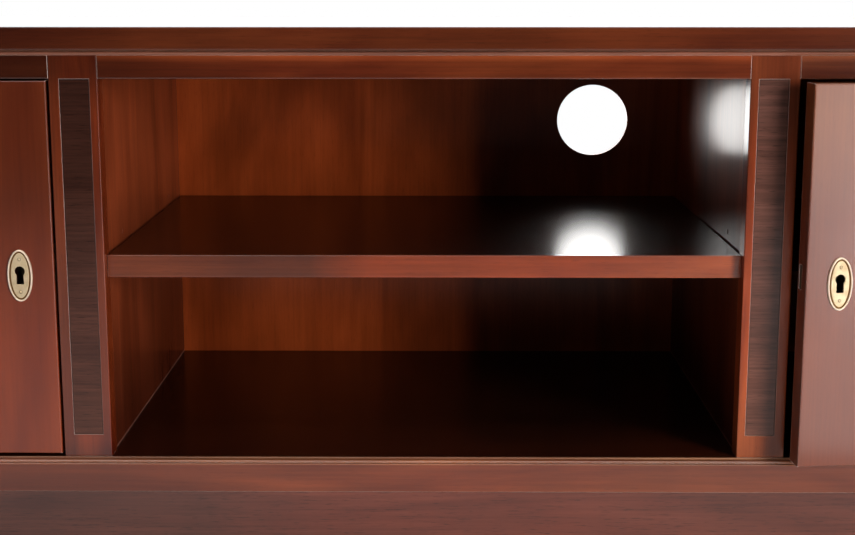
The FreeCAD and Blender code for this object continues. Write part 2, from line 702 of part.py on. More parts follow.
def make_plinth(doc, dims):
    """Plinth boards with mitred front corners. A dark strip is let into the front and the ends."""
    outer = -dims.base_reach
    inner = outer + dims.plinth_thick
    foot = dims.glide_tall
    head = dims.moulding_foot
    sunk = dims.inlay_thick + dims.inlay_sink
    border = foot + dims.plinth_border
    profile = [(inner, foot), (outer, foot), (outer, head), (inner, head)]
    half_front = dims.half_carcass + dims.base_reach - dims.plinth_border
    half_side = dims.carcass_deep / 2
    side_front = half_side + dims.base_reach - dims.plinth_border
    side_rear = half_side - dims.plinth_border
    gap = dims.inlay_gap

    def grooved(name, half_length, mitres, low_x, high_x):
        """Plinth board and the strip in it, both along X with the wrapped face at Y = 0."""
        body = strip(doc, f"{name}_board", profile, half_length, dims.base_reach, inner, mitres, dims)
        recess = block(doc, f"{name}_recess", (low_x, outer - dims.overrun, border),
                       (high_x, outer + sunk, head + dims.overrun))
        dark = block(doc, f"{name}_inlay", (low_x + gap, outer + dims.inlay_sink, border + gap),
                     (high_x - gap, outer + sunk, head - gap))
        return cut(doc, name, body, [recess]), dark

    front, front_inlay = grooved("plinth_front", dims.half_carcass, (True, True),
                                 -half_front, half_front)
    place(front, 0, dims.face, 0)
    bind(front_inlay, "Placement.Base.y", dims.face + outer + dims.inlay_sink)
    left, left_inlay = grooved("plinth_left", half_side, (False, True), -side_rear, side_front)
    left.Placement = FreeCAD.Placement(V(), ROUND_LEFT)
    place(left, -dims.half_carcass, 0, 0)
    left_inlay.Placement = FreeCAD.Placement(V(), ROUND_LEFT)
    place(left_inlay, -dims.half_carcass + outer + dims.inlay_sink, side_rear - gap, border + gap)
    right = mirrored(doc, "plinth_right", left)
    right_inlay = mirrored(doc, "plinth_right_inlay", left_inlay)

    return [front, front_inlay, left, left_inlay, right, right_inlay] + make_plinth_bearers(doc, dims)


def make_plinth_bearers(doc, dims):
    """Back board and middle bearer of the plinth. Both reach up to the cabinet floor and are
    notched round the base moulding."""
    wide = dims.half_carcass + dims.base_reach - dims.plinth_thick
    back_face = dims.rear - dims.plinth_thick
    foot, head = dims.glide_tall, dims.floor_foot
    back_board = block(doc, "plinth_back_board", (-wide, back_face, foot), (wide, dims.rear, head))
    notch_x = dims.half_carcass - dims.moulding_seat
    end_x = wide + dims.overrun
    notches = [block(doc, f"plinth_back_notch_{number}",
                     (low, back_face - dims.overrun, dims.moulding_foot),
                     (high, dims.rear + dims.overrun, head + dims.overrun))
               for number, (low, high) in enumerate(((-end_x, -notch_x), (notch_x, end_x)))]
    half = dims.plinth_thick / 2
    front_y = dims.face - dims.base_reach + dims.plinth_thick
    bearer_board = block(doc, "plinth_bearer_board", (-half, front_y, foot), (half, back_face, head))
    notch = block(doc, "plinth_bearer_notch",
                  (-half - dims.overrun, front_y - dims.overrun, dims.moulding_foot),
                  (half + dims.overrun, dims.face + dims.moulding_seat, head + dims.overrun))
    return [cut(doc, "plinth_back", back_board, notches),
            cut(doc, "plinth_middle_bearer", bearer_board, [notch])]


def make_feet(doc, dims):
    """Corner blocks inside the plinth, and a glide under each and under the middle bearer."""
    side_x = dims.half_carcass + dims.base_reach - dims.plinth_thick
    front_y = dims.face - dims.base_reach + dims.plinth_thick
    back_y = dims.rear - dims.plinth_thick
    across = dims.block_width
    model = block(doc, "corner_block", (-side_x, front_y, dims.glide_tall),
                  (-side_x + across, front_y + across, dims.moulding_foot))
    half_glide = dims.glide_width / 2
    glide = block(doc, "glide", (-half_glide, -half_glide, 0), (half_glide, half_glide, dims.glide_tall))
    doc.recompute()
    to_right = 2 * side_x - across
    to_rear = back_y - front_y - across
    corners = [(x, y) for x in (as_size(0), to_right) for y in (as_size(0), to_rear)]
    blocks = group(doc, "plinth_corner_blocks", [moved(model.Shape, x, y, 0) for x, y in corners])
    middle_x = -side_x + across / 2
    middle_y = front_y + across / 2
    glides = group(doc, "floor_glides", [glide.Shape.copy()]
                   + [moved(glide.Shape, middle_x + x, middle_y + y, 0) for x, y in corners])
    return [blocks, glides]


# Shelves

def make_shelves(doc, dims):
    """Middle shelf with a strip along its edge, a shelf behind each door, and their pins."""
    foot = dims.shelf_face - dims.shelf_thick
    lip = dims.face + dims.shelf_setback
    core = lip + dims.lipping_thick
    middle = block(doc, "centre_shelf", (-dims.shelf_end, core, foot),
                   (dims.shelf_end, dims.shelf_back, dims.shelf_face))
    lipping = board(doc, "centre_shelf_lipping", (-dims.shelf_end, lip, foot),
                    (dims.shelf_end, core, dims.shelf_face))
    ease(doc, lipping, dims.arris, front_levels)
    outer = -dims.side_wall + dims.shelf_side_gap
    inner = -dims.wall_back - dims.shelf_side_gap
    left = block(doc, "left_shelf", (outer, dims.face + dims.side_shelf_setback, foot),
                 (inner, dims.shelf_back, foot + dims.side_shelf_thick))
    return [middle, lipping, left, mirrored(doc, "right_shelf", left), make_shelf_pins(doc, dims, foot)]


def make_shelf_pins(doc, dims, shelf_foot):
    """Round pins, four under each shelf, half of each in the wall."""
    radius = dims.pin_width / 2
    pin = drill(doc, "shelf_pin", (0, 0, -dims.pin_seat), radius, dims.pin_seat + dims.pin_reach,
                FreeCAD.Rotation())
    doc.recompute()
    pins = []
    for wall, way in ((-dims.side_wall, 1), (-dims.wall_back, -1), (-dims.wall, 1),
                      (dims.wall, -1), (dims.wall_back, 1), (dims.side_wall, -1)):
        for y in dims.columns:
            shape = pin.Shape.copy()
            shape.rotate(V(), V(0, 1, 0), 90 * way)
            pins.append(moved(shape, wall, y, shelf_foot - radius))
    return group(doc, "shelf_pins", pins)


# Hinges

def hinge_leaf(doc, name, way, first, dims):
    """Leaf about the pin's axis, with its foot at Z = 0: a plate, and every second knuckle joined
    to it by a neck. Way is +1 for the leaf on the door, at +X of the axis, and -1 on the frame."""
    body = doc.addObject("PartDesign::Body", name)
    pitch = dims.hinge_tall / KNUCKLES
    near, far = dims.leaf_apart / 2, dims.leaf_half

    def plate(part, front, back, lift):
        sketch = new_sketch(body, "XY_Plane", f"{name}_{part}", lift)
        corners = [(way * near, front), (way * far, front), (way * far, back), (way * near, back)]
        return draw(sketch, corners)

    pad(body, plate("plate", dims.pin_proud, dims.pin_proud + dims.leaf_reach, 0), dims.hinge_tall)
    tall = pitch - dims.knuckle_play
    for number in range(first, KNUCKLES, 2):
        foot = number * pitch + dims.knuckle_play / 2
        pad(body, plate(f"neck_{number}", 0, dims.pin_proud + dims.leaf_thick, foot), tall)
        barrel = new_sketch(body, "XY_Plane", f"{name}_barrel_{number}", foot)
        pad(body, ring(barrel, 0, 0, dims.knuckle_radius), tall)
    return body


def leaf_seats(doc, side, dims):
    """Shallow seats for the two hinge leaves, in the pilaster's side or in the door's edge."""
    edge, way = (dims.hung_edge, 1) if side == "door" else (-dims.end_jamb, -1)
    seats = []
    for number, foot in enumerate(dims.hinge_feet):
        near, far = edge - way * dims.overrun, edge + way * dims.leaf_sink
        low_x, high_x = (near, far) if way > 0 else (far, near)
        seats.append(block(doc, f"{side}_leaf_seat_{number}", (low_x, dims.face - dims.overrun, foot),
                           (high_x, dims.face + dims.leaf_reach, foot + dims.hinge_tall)))
    return seats


def make_hinges(doc, dims):
    """Two three-knuckle butt hinges a door. The pin is riveted into the leaf on the frame."""
    frame_leaf = hinge_leaf(doc, "frame_leaf", -1, 0, dims)
    end = dims.knuckle_play / 2
    riveted = new_sketch(frame_leaf, "XY_Plane", "frame_leaf_pin", end)
    pad(frame_leaf, ring(riveted, 0, 0, dims.hinge_pin_radius), dims.hinge_tall - 2 * end)
    door_leaf = hinge_leaf(doc, "door_leaf", 1, 1, dims)
    bore = new_sketch(door_leaf, "XY_Plane", "door_leaf_bore")
    pocket_through(door_leaf, ring(bore, 0, 0, dims.hinge_pin_radius + dims.hinge_pin_play))
    doc.recompute()
    across = V(1, 0, 0)
    on_frame, on_door = [], []
    for foot in dims.hinge_feet:
        left = moved(frame_leaf.Shape, dims.hinge_x, dims.hinge_y, foot)
        on_frame.extend([left, left.mirror(V(), across)])
        on_door.append(moved(door_leaf.Shape, dims.hinge_x, dims.hinge_y, foot))
    return group(doc, "hinge_frame_leaves", on_frame), group(doc, "left_hinge_leaves", on_door)


# Doors and locks

def keyhole(doc, name, deep, dims):
    """Keyhole-shaped bar along Z, half of it on each side of the plane: a round above a slot."""
    radius = dims.key_round / 2
    shoulder = dims.key_slot / 2
    drop = root(radius * radius - shoulder * shoulder)
    foot = radius - dims.key_tall
    flare = dims.key_slot_foot / 2
    body = doc.addObject("PartDesign::Body", name)
    sketch = new_sketch(body, "XY_Plane", f"{name}_outline")
    draw(sketch, [(-shoulder, -drop, radius + drop), (shoulder, -drop), (flare, foot), (-flare, foot)])
    pad(body, sketch, deep, midplane=True)
    return body


def make_door(doc, dims):
    """Left door's slab with eased front edges, cut for the key, the lock, its bolt and the leaves."""
    slab = board(doc, "left_door_slab", (dims.hung_edge, dims.face, dims.door_foot),
                 (dims.free_edge, dims.door_back, dims.door_head))
    ease(doc, slab, dims.arris, front_edges)
    case_x = dims.free_edge - dims.lock_inset
    half_lock = dims.lock_tall / 2
    recess = block(doc, "lock_recess",
                   (case_x - dims.lock_wide, dims.door_back - dims.lock_deep, dims.key_z - half_lock),
                   (case_x, dims.door_back + dims.overrun, dims.key_z + half_lock))
    play = dims.bolt_play
    slot = block(doc, "bolt_slot", (case_x - dims.overrun, dims.bolt_face - play, dims.bolt_foot - play),
                 (dims.free_edge + dims.overrun, dims.bolt_face + dims.bolt_thick + play,
                  dims.bolt_foot + dims.bolt_tall + play))
    key = keyhole(doc, "door_keyhole", 2 * dims.door_thick, dims)
    key.Placement = FreeCAD.Placement(V(), TO_FRONT)
    place(key, dims.key_x, dims.face, dims.key_z)
    return cut(doc, "left_door_panel", slab, [recess, slot, key] + leaf_seats(doc, "door", dims))


def make_lock(doc, dims):
    """Lock case flush with the door's back, and the bolt that slides in it."""
    case_x = dims.free_edge - dims.lock_inset
    front = dims.door_back - dims.lock_deep
    blank = block(doc, "lock_blank", (case_x - dims.lock_wide, front, dims.key_z - dims.lock_tall / 2),
                  (case_x, dims.door_back, dims.key_z + dims.lock_tall / 2))
    tip = dims.free_edge - dims.bolt_rest
    play = dims.bolt_play
    channel = block(doc, "bolt_channel",
                    (tip - dims.bolt_long - play, dims.bolt_face - play, dims.bolt_foot - play),
                    (case_x + dims.overrun, dims.bolt_face + dims.bolt_thick + play,
                     dims.bolt_foot + dims.bolt_tall + play))
    key = keyhole(doc, "case_keyhole", 2 * dims.key_chamber, dims)
    key.Placement = FreeCAD.Placement(V(), TO_FRONT)
    place(key, dims.key_x, front, dims.key_z)
    case = cut(doc, "left_lock_case", blank, [channel, key])
    bolt = block(doc, "left_lock_bolt", (tip - dims.bolt_long, dims.bolt_face, dims.bolt_foot),
                 (tip, dims.bolt_face + dims.bolt_thick, dims.bolt_foot + dims.bolt_tall))
    return case, bolt


def oval_block(doc, name, half_wide, half_tall, rise, thick):
    """Upright oval, raised along Z."""
    line = doc.addObject("Part::Ellipse", f"{name}_line")
    bind(line, "MajorRadius", half_tall)
    bind(line, "MinorRadius", half_wide)
    line.Placement = FreeCAD.Placement(V(), FreeCAD.Rotation(V(0, 0, 1), 90))
    place(line, 0, 0, rise)
    raised = doc.addObject("Part::Extrusion", name)
    raised.Base = line
    raised.DirMode = "Custom"
    raised.Dir = V(0, 0, 1)
    raised.Solid = True
    bind(raised, "LengthFwd", thick)
    return raised


def make_key_plate(doc, dims):
    """Oval key plate with a raised rim round its field, and the keyhole."""
    wide, tall, rim = dims.plate_width / 2, dims.plate_tall / 2, dims.plate_rim
    body = oval_block(doc, "plate_body", wide, tall, 0, dims.plate_thick)
    field = oval_block(doc, "plate_field", wide - rim, tall - rim,
                       dims.plate_thick - dims.plate_sink, dims.plate_sink + dims.overrun)
    hole = keyhole(doc, "plate_keyhole", 2 * dims.overrun, dims)
    place(hole, 0, dims.plate_drop, 0)
    plate = cut(doc, "left_key_plate", body, [field, hole])
    plate.Placement = FreeCAD.Placement(V(), TO_FRONT)
    return place(plate, dims.key_x, dims.face, dims.key_z - dims.plate_drop)


def make_doors(doc, dims, leaves):
    """Everything that swings with the left door, its bolt, and the right-hand twins, ajar."""
    case, bolt = make_lock(doc, dims)
    left = [make_door(doc, dims), case, bolt, make_key_plate(doc, dims), leaves]
    return left + [mirrored_ajar(doc, piece.Name.replace("left", "right"), piece, dims)
                   for piece in left]


# Whole cabinet

def check(doc, pieces):
    """Stop if a step failed or a piece has no sound shape."""
    for item in doc.Objects:
        if "Invalid" in item.State or "Error" in item.State:
            raise RuntimeError(f"{item.Name} failed: {item.State}")
    for piece in pieces:
        if piece.Shape.isNull() or not piece.Shape.isValid() or not piece.Shape.Solids:
            raise RuntimeError(f"{piece.Name} has no sound shape")


def main():
    doc = FreeCAD.newDocument("television_cabinet")
    dims = fill_sheet(doc)
    add_lines(dims)
    doc.recompute()
    on_frame, on_door = make_hinges(doc, dims)
    pieces = (make_top(doc, dims) + make_carcass(doc, dims) + make_back(doc, dims)
              + make_rails(doc, dims) + make_pilasters(doc, dims) + make_strikes(doc, dims)
              + make_stops(doc, dims) + make_base_moulding(doc, dims) + make_plinth(doc, dims)
              + make_feet(doc, dims) + make_shelves(doc, dims) + [on_frame]
              + make_doors(doc, dims, on_door))
    doc.recompute()
    check(doc, pieces)
    os.makedirs("parts", exist_ok=True)
    for piece in pieces:
        piece.Label = piece.Name
        piece.Shape.exportStep(f"parts/{piece.Name}.step")
    print(f"{len(pieces)} nodes, {sum(len(piece.Shape.Solids) for piece in pieces)} solids")


main()
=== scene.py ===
"""Looks of a low television cabinet: lacquered mahogany, dark inlays and brass fittings.

Everything is in metres, in the frame of the packed solids: X runs along the width, the doors face
-Y and Z is up. The left door is shut and the right door stands ajar.
"""

import json
import math

import bmesh
import bpy
from bpy.props import FloatProperty, FloatVectorProperty, IntProperty
from mathutils import Matrix, Vector


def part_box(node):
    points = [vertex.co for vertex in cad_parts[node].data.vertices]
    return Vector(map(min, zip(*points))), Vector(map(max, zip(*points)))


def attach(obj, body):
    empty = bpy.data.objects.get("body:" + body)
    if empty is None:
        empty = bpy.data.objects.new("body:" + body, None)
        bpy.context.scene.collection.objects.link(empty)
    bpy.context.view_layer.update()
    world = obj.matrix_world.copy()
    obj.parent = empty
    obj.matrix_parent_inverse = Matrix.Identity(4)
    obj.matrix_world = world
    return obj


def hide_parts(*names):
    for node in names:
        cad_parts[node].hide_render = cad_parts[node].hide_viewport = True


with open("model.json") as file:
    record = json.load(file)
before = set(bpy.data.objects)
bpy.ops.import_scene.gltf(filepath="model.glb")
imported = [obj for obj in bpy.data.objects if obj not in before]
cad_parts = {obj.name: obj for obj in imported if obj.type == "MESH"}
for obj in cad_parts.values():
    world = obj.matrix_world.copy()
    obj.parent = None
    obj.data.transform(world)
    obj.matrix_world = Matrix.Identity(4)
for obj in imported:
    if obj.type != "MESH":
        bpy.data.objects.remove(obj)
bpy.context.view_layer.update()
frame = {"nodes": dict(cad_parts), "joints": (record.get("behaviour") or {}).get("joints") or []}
NODES = frame["nodes"]
JOINTS = {joint["name"]: joint for joint in frame["joints"]}
MM = 0.001

bl_info = {
    "name": "Television Cabinet",
    "version": (1, 0, 0),
    "blender": (4, 5, 0),
    "location": "3D View > Sidebar > Cabinet",
    "description": "Finishes, brass fittings and studio for a mahogany television cabinet",
    "category": "Object",
}


# Settings

def colour(name, description, value):
    """Colour setting, in linear light."""
    return FloatVectorProperty(name=name, description=description, default=value, size=3,
                               subtype="COLOR", min=0.0, max=1.0)


def length(name, description, millimetres):
    """Length setting, given in millimetres and kept in metres."""
    return FloatProperty(name=name, description=description, default=millimetres * MM,
                         unit="LENGTH", subtype="DISTANCE", precision=5)


def share(name, description, value):
    """Setting between none and all."""
    return FloatProperty(name=name, description=description, default=value, min=0.0, max=1.0,
                         subtype="FACTOR")


def power(name, description, watts):
    """Power of a lamp."""
    return FloatProperty(name=name, description=description, default=watts, unit="POWER")


class CabinetWood(bpy.types.PropertyGroup):
    """Woods and their lacquer."""

    mahogany_dark: colour("Mahogany, dark", "Darker figure of the lacquered mahogany",
                          (0.056, 0.0068, 0.0024))
    mahogany_light: colour("Mahogany, light", "Lighter figure of the lacquered mahogany",
                           (0.175, 0.034, 0.0095))
    # The bead's tones are paler and greyer than the mahogany's: a painted reflection of the pale
    # floor in its lacquer.
    bead_dark: colour("Bead, dark", "Darker figure of the bead under the top board's front",
                      (0.13, 0.040, 0.022))
    bead_light: colour("Bead, light", "Lighter figure of the bead under the top board's front",
                       (0.27, 0.095, 0.055))
    inside_dark: colour("Bay, dark", "Darker figure of the walls and back of the bays",
                        (0.150, 0.022, 0.0045))
    inside_light: colour("Bay, light", "Lighter figure of the walls and back of the bays",
                         (0.36, 0.062, 0.013))
    inlay_dark: colour("Inlay, dark", "Darker lines of the inlaid veneer", (0.028, 0.0078, 0.0044))
    inlay_light: colour("Inlay, light", "Lighter lines of the inlaid veneer", (0.068, 0.023, 0.014))
    plain_dark: colour("Hidden wood, dark", "Darker figure of the unlacquered wood",
                       (0.30, 0.145, 0.065))
    plain_light: colour("Hidden wood, light", "Lighter figure of the unlacquered wood",
                        (0.55, 0.33, 0.17))
    # This colour and the door's are partly wear and mostly a painted highlight, where a rounded arris
    # catches the light.
    rubbed: colour("Rubbed arris", "Colour where the lacquer is thin along an edge",
                   (0.90, 0.66, 0.55))
    door_rubbed: colour("Rubbed door arris", "Colour where the lacquer is thin along a door's edge",
                        (1.0, 0.86, 0.78))
    arris_width: length("Arris", "Width of the rubbed line along an edge", 0.6)
    outside_lacquer: share("Outside lacquer", "Blur of the reflections on the outside", 0.16)
    inside_lacquer: share("Inside lacquer", "Blur of the reflections in the bays", 0.21)


class CabinetBrass(bpy.types.PropertyGroup):
    """Brass fittings."""

    brass: colour("Brass", "Pale polished brass", (0.76, 0.60, 0.385))
    brass_worn: colour("Brass, worn", "Brass where it is handled or tarnished", (0.56, 0.39, 0.19))
    # The rim's paler brass is polish and a painted highlight; the groove's dark brass is tarnish and
    # painted shade under the rim.
    brass_rubbed_and_highlight: colour("Brass, rubbed", "Brass of the rim that hands keep bright",
                         (0.95, 0.78, 0.62))
    tarnish: colour("Tarnish", "Dull brass in the key plate's groove", (0.19, 0.085, 0.018))
    brass_roughness: share("Brass roughness", "Blur of the reflections in the brass", 0.52)
    rim_width: length("Rim", "Rounded rim of the key plate", 1.8)
    rim_height: length("Rim height", "Rim's crown above the door", 2.2)
    groove_width: length("Groove", "Groove between the rim and the field", 1.2)
    groove_height: length("Groove height", "Groove's bottom above the door", 0.4)
    field_height: length("Field height", "Field of the key plate above the door", 1.4)
    plate_steps: IntProperty(name="Steps", description="Points round the key plate", default=96,
                             min=24, max=256)


class CabinetFixings(bpy.types.PropertyGroup):
    """Screws and pins."""

    pin_radius: length("Pin", "Radius of a key-plate pin's head", 1.15)
    pin_crown: length("Pin crown", "Height of a key-plate pin's head", 0.8)
    pin_reach: length("Pin reach", "Key-plate pins above and below the plate's middle", 14.4)
    leaf_screw: length("Hinge screw", "Radius of a hinge screw's head", 2.3)
    lock_screw: length("Lock screw", "Radius of a lock screw's head", 2.2)
    panel_screw: length("Panel screw", "Radius of a back panel screw's head", 3.2)
    panel_pitch: length("Panel pitch", "Distance between back panel screws, at most", 165)
    panel_edge: length("Panel edge", "Back panel screws in from the panel's edge", 6)
    flush: length("Flush", "Countersunk head above the metal round it", 0.08)
    proud: length("Proud", "Screw head above the wood", 0.5)
    seed: IntProperty(name="Seed", description="Seed for the way the screw slots point", default=7)


class CabinetStage(bpy.types.PropertyGroup):
    """Camera, floor and light."""

    camera_place: FloatVectorProperty(name="Camera", description="Place of the camera", size=3,
                                      default=(0.0127, -1.4773, 0.5109), subtype="TRANSLATION",
                                      unit="LENGTH")
    camera_pitch: FloatProperty(name="Pitch", description="Camera's tilt below level",
                                default=math.radians(10.6245), subtype="ANGLE", unit="ROTATION")
    camera_turn: FloatProperty(name="Turn", description="Camera's turn to the left",
                               default=math.radians(0.4207), subtype="ANGLE", unit="ROTATION")
    camera_lens: FloatProperty(name="Lens", description="Focal length for a 36 mm wide picture",
                               default=62.995, unit="CAMERA")
    floor_reach: FloatProperty(name="Floor reach", description="Floor from its middle to each side",
                               default=2.4, subtype="DISTANCE", unit="LENGTH")
    floor_colour: colour("Floor", "Pale studio floor", (0.80, 0.80, 0.80))
    room_colour: colour("Room", "Dim room before the cabinet, as the lacquer shows it",
                        (0.03, 0.028, 0.028))
    floor_sheen: share("Floor sheen", "Glow that the lacquer sees on the floor round the cabinet",
                       0.38)
    card_colour: colour("Cards", "White cards that the lacquer and the brass mirror",
                        (1.0, 0.98, 0.955))
    room_light: share("Room light", "Soft light from all round", 0.05)
    key_power: power("Key light", "Power of the soft box at the right", 48.0)
    fill_power: power("Fill light", "Power of the soft box at the left", 1.0)
    top_power: power("Top light", "Power of the panel overhead", 40.0)


def settings(name):
    """One of the groups of settings kept with the scene."""
    return getattr(bpy.context.scene, name)


# Sizes that the solids have too

AJAR = -math.radians(JOINTS["right_door_swing"]["range_deg"][0])
HINGE = Vector(JOINTS["right_door_swing"]["pos_m"])
MIRROR = Matrix.Diagonal((-1, 1, 1))
# Keyhole: its round, its slot's and its foot's half width, and its foot below the round's middle
KEY_RADIUS = 4.45 * MM
KEY_SLOT = 3.05 * MM
KEY_FOOT_HALF = 3.3 * MM
KEY_FOOT = KEY_RADIUS - 16 * MM
# The middle of the keyhole's round above the key plate's middle
KEY_RISE = 3.8 * MM
# Hinge leaves
LEAF_GAP = 0.3 * MM
LEAF_TALL = 60 * MM
LEAF_DEEP = 15 * MM


# Places

def corners(name):
    """Lowest and highest corner of a CAD node."""
    return tuple(Vector(corner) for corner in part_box(name))


def middle(name):
    """Middle of a CAD node's box."""
    low, high = corners(name)
    return (low + high) / 2


def to_right_door(point, facing):
    """A point of the shut left door and its facing, carried to the right door that stands ajar."""
    swing = Matrix.Rotation(AJAR, 3, "Z")
    return HINGE + swing @ (MIRROR @ Vector(point) - HINGE), swing @ (MIRROR @ Vector(facing))


def twinned(door, still=()):
    """Places and facings on the left door and on the frame's left half, with their twins.

    Gives a list for each body.
    """
    found = {"left_door": list(door), "right_door": [to_right_door(*place) for place in door]}
    if still:
        found["cabinet"] = still + [(MIRROR @ point, MIRROR @ facing) for point, facing in still]
    return found


# Node work

def plug(tree, made, inputs):
    """Give each input of a node its value, or link it to a socket."""
    for name, value in dict(inputs).items():
        if isinstance(value, bpy.types.NodeSocket):
            tree.links.new(value, made.inputs[name])
        else:
            made.inputs[name].default_value = value


def node(tree, kind, inputs=(), **options):
    """Node with its options and inputs set."""
    made = tree.nodes.new(kind)
    for name, value in options.items():
        setattr(made, name, value)
    plug(tree, made, inputs)
    return made


def scaled(tree, value, factor):
    """Value times a number or another value."""
    return node(tree, "ShaderNodeMath", {0: value, 1: factor}, operation="MULTIPLY").outputs[0]


def stretched(tree, place, sizes):
    """Place with each of its parts multiplied."""
    return node(tree, "ShaderNodeVectorMath", {0: place, 1: sizes}, operation="MULTIPLY").outputs[0]


def remap(tree, value, low, high, out_low=0.0, out_high=1.0):
    """Value between two limits, spread over two others."""
    return node(tree, "ShaderNodeMapRange",
                {0: value, 1: low, 2: high, 3: out_low, 4: out_high}).outputs[0]


def blend(tree, factor, first, second, kind="MIX"):
    """Mix of two colours."""
    mix = node(tree, "ShaderNodeMix", data_type="RGBA", blend_type=kind)
    tones = {index: value if isinstance(value, bpy.types.NodeSocket) else (*value, 1)
             for index, value in ((6, first), (7, second))}
    plug(tree, mix, {0: factor, **tones})
    return mix.outputs[2]


def place_on(tree):
    """Place on a piece, in metres."""
    return node(tree, "ShaderNodeTexCoord").outputs["Object"]


def speckle(tree, place, scale, detail):
    """Noise in even patches."""
    return node(tree, "ShaderNodeTexNoise",
                {"Vector": place, "Scale": scale, "Detail": detail}).outputs["Fac"]


def streaks(tree, vector, along, across, detail=3.0, bend=0.0):
    """Noise drawn out along the grain, with so many marks a metre along and across it."""
    drawn = stretched(tree, vector, (along, across, across))
    return node(tree, "ShaderNodeTexNoise",
                {"Vector": drawn, "Scale": 1.0, "Detail": detail, "Roughness": 0.55,
                 "Distortion": bend}).outputs["Fac"]


def relief(tree, height, strength, depth, normal=None):
    """Normal with small relief on it."""
    inputs = {"Strength": strength, "Distance": depth, "Height": height}
    if normal is not None:
        inputs["Normal"] = normal
    return node(tree, "ShaderNodeBump", inputs).outputs[0]


# How far the rounded normal agrees with the flat one, on a face and at a full edge
EDGE_LIMITS = (0.995, 0.86)


def edge_share(tree, width):
    """One along the edges of a piece and none on its faces, and the normal that rounds them."""
    rounded = node(tree, "ShaderNodeBevel", {"Radius": width}, samples=6).outputs[0]
    flat = node(tree, "ShaderNodeNewGeometry").outputs["Normal"]
    alike = node(tree, "ShaderNodeVectorMath", {0: rounded, 1: flat}, operation="DOT_PRODUCT")
    return remap(tree, alike.outputs["Value"], *EDGE_LIMITS), rounded


def blank_material(name):
    """Material with an empty node tree, a principled shader and its output."""
    made = bpy.data.materials.new(name)
    made.use_nodes = True
    tree = made.node_tree
    tree.nodes.clear()
    shader = node(tree, "ShaderNodeBsdfPrincipled")
    node(tree, "ShaderNodeOutputMaterial", {"Surface": shader.outputs["BSDF"]})
    return made, tree, shader


# Wood

GRAIN_TURNS = {"X": (0, 0, 0), "Y": (0, 0, math.pi / 2), "Z": (0, math.pi / 2, 0)}
# Marks a metre, along and across the grain
CLOUD = (7.0, 11.0)
FIBRE = (9.0, 420.0)
PORE = (75.0, 1700.0)
# Half the range of noise over which the figure turns from dark to light, and the range for a pore
FIGURE_SPREAD = 0.24
PORE_LIMITS = (0.62, 0.70)
# Ripples a metre in the lacquer, and their depth
RIPPLES = 26.0
RIPPLE_DEPTH = 0.5 * MM
# Pores, and the painted shade inside a keyhole, against the wood's darker figure
PORE_TONE = 0.25
KEYHOLE_SHADE_TONE = 0.15
# Reach of the painted shade round a keyhole, all of it behind the key plate
BORE = 9.5 * MM


def toned(tone, gain):
    """Colour made lighter or darker."""
    return tuple(part * gain for part in tone)


def vary(tree, tone, value, amount):
    """Colour made lighter and darker about its mean by a noise value."""
    gain = remap(tree, value, 0.25, 0.75, 1.0 - amount, 1.0 + amount)
    grey = node(tree, "ShaderNodeCombineColor", {"Red": gain, "Green": gain, "Blue": gain})
    return blend(tree, 1.0, tone, grey.outputs[0], "MULTIPLY")


def fade(axis, first, last, before=1.0, after=1.0):
    """Painted light and shade: a soft change of tone along an axis, from a gain before one place to a
    gain after another.

    A gain is one number, or three for red, green and blue.
    """
    sides = (gain if isinstance(gain, tuple) else (gain,) * 3 for gain in (before, after))
    return (axis, first, last, *sides)


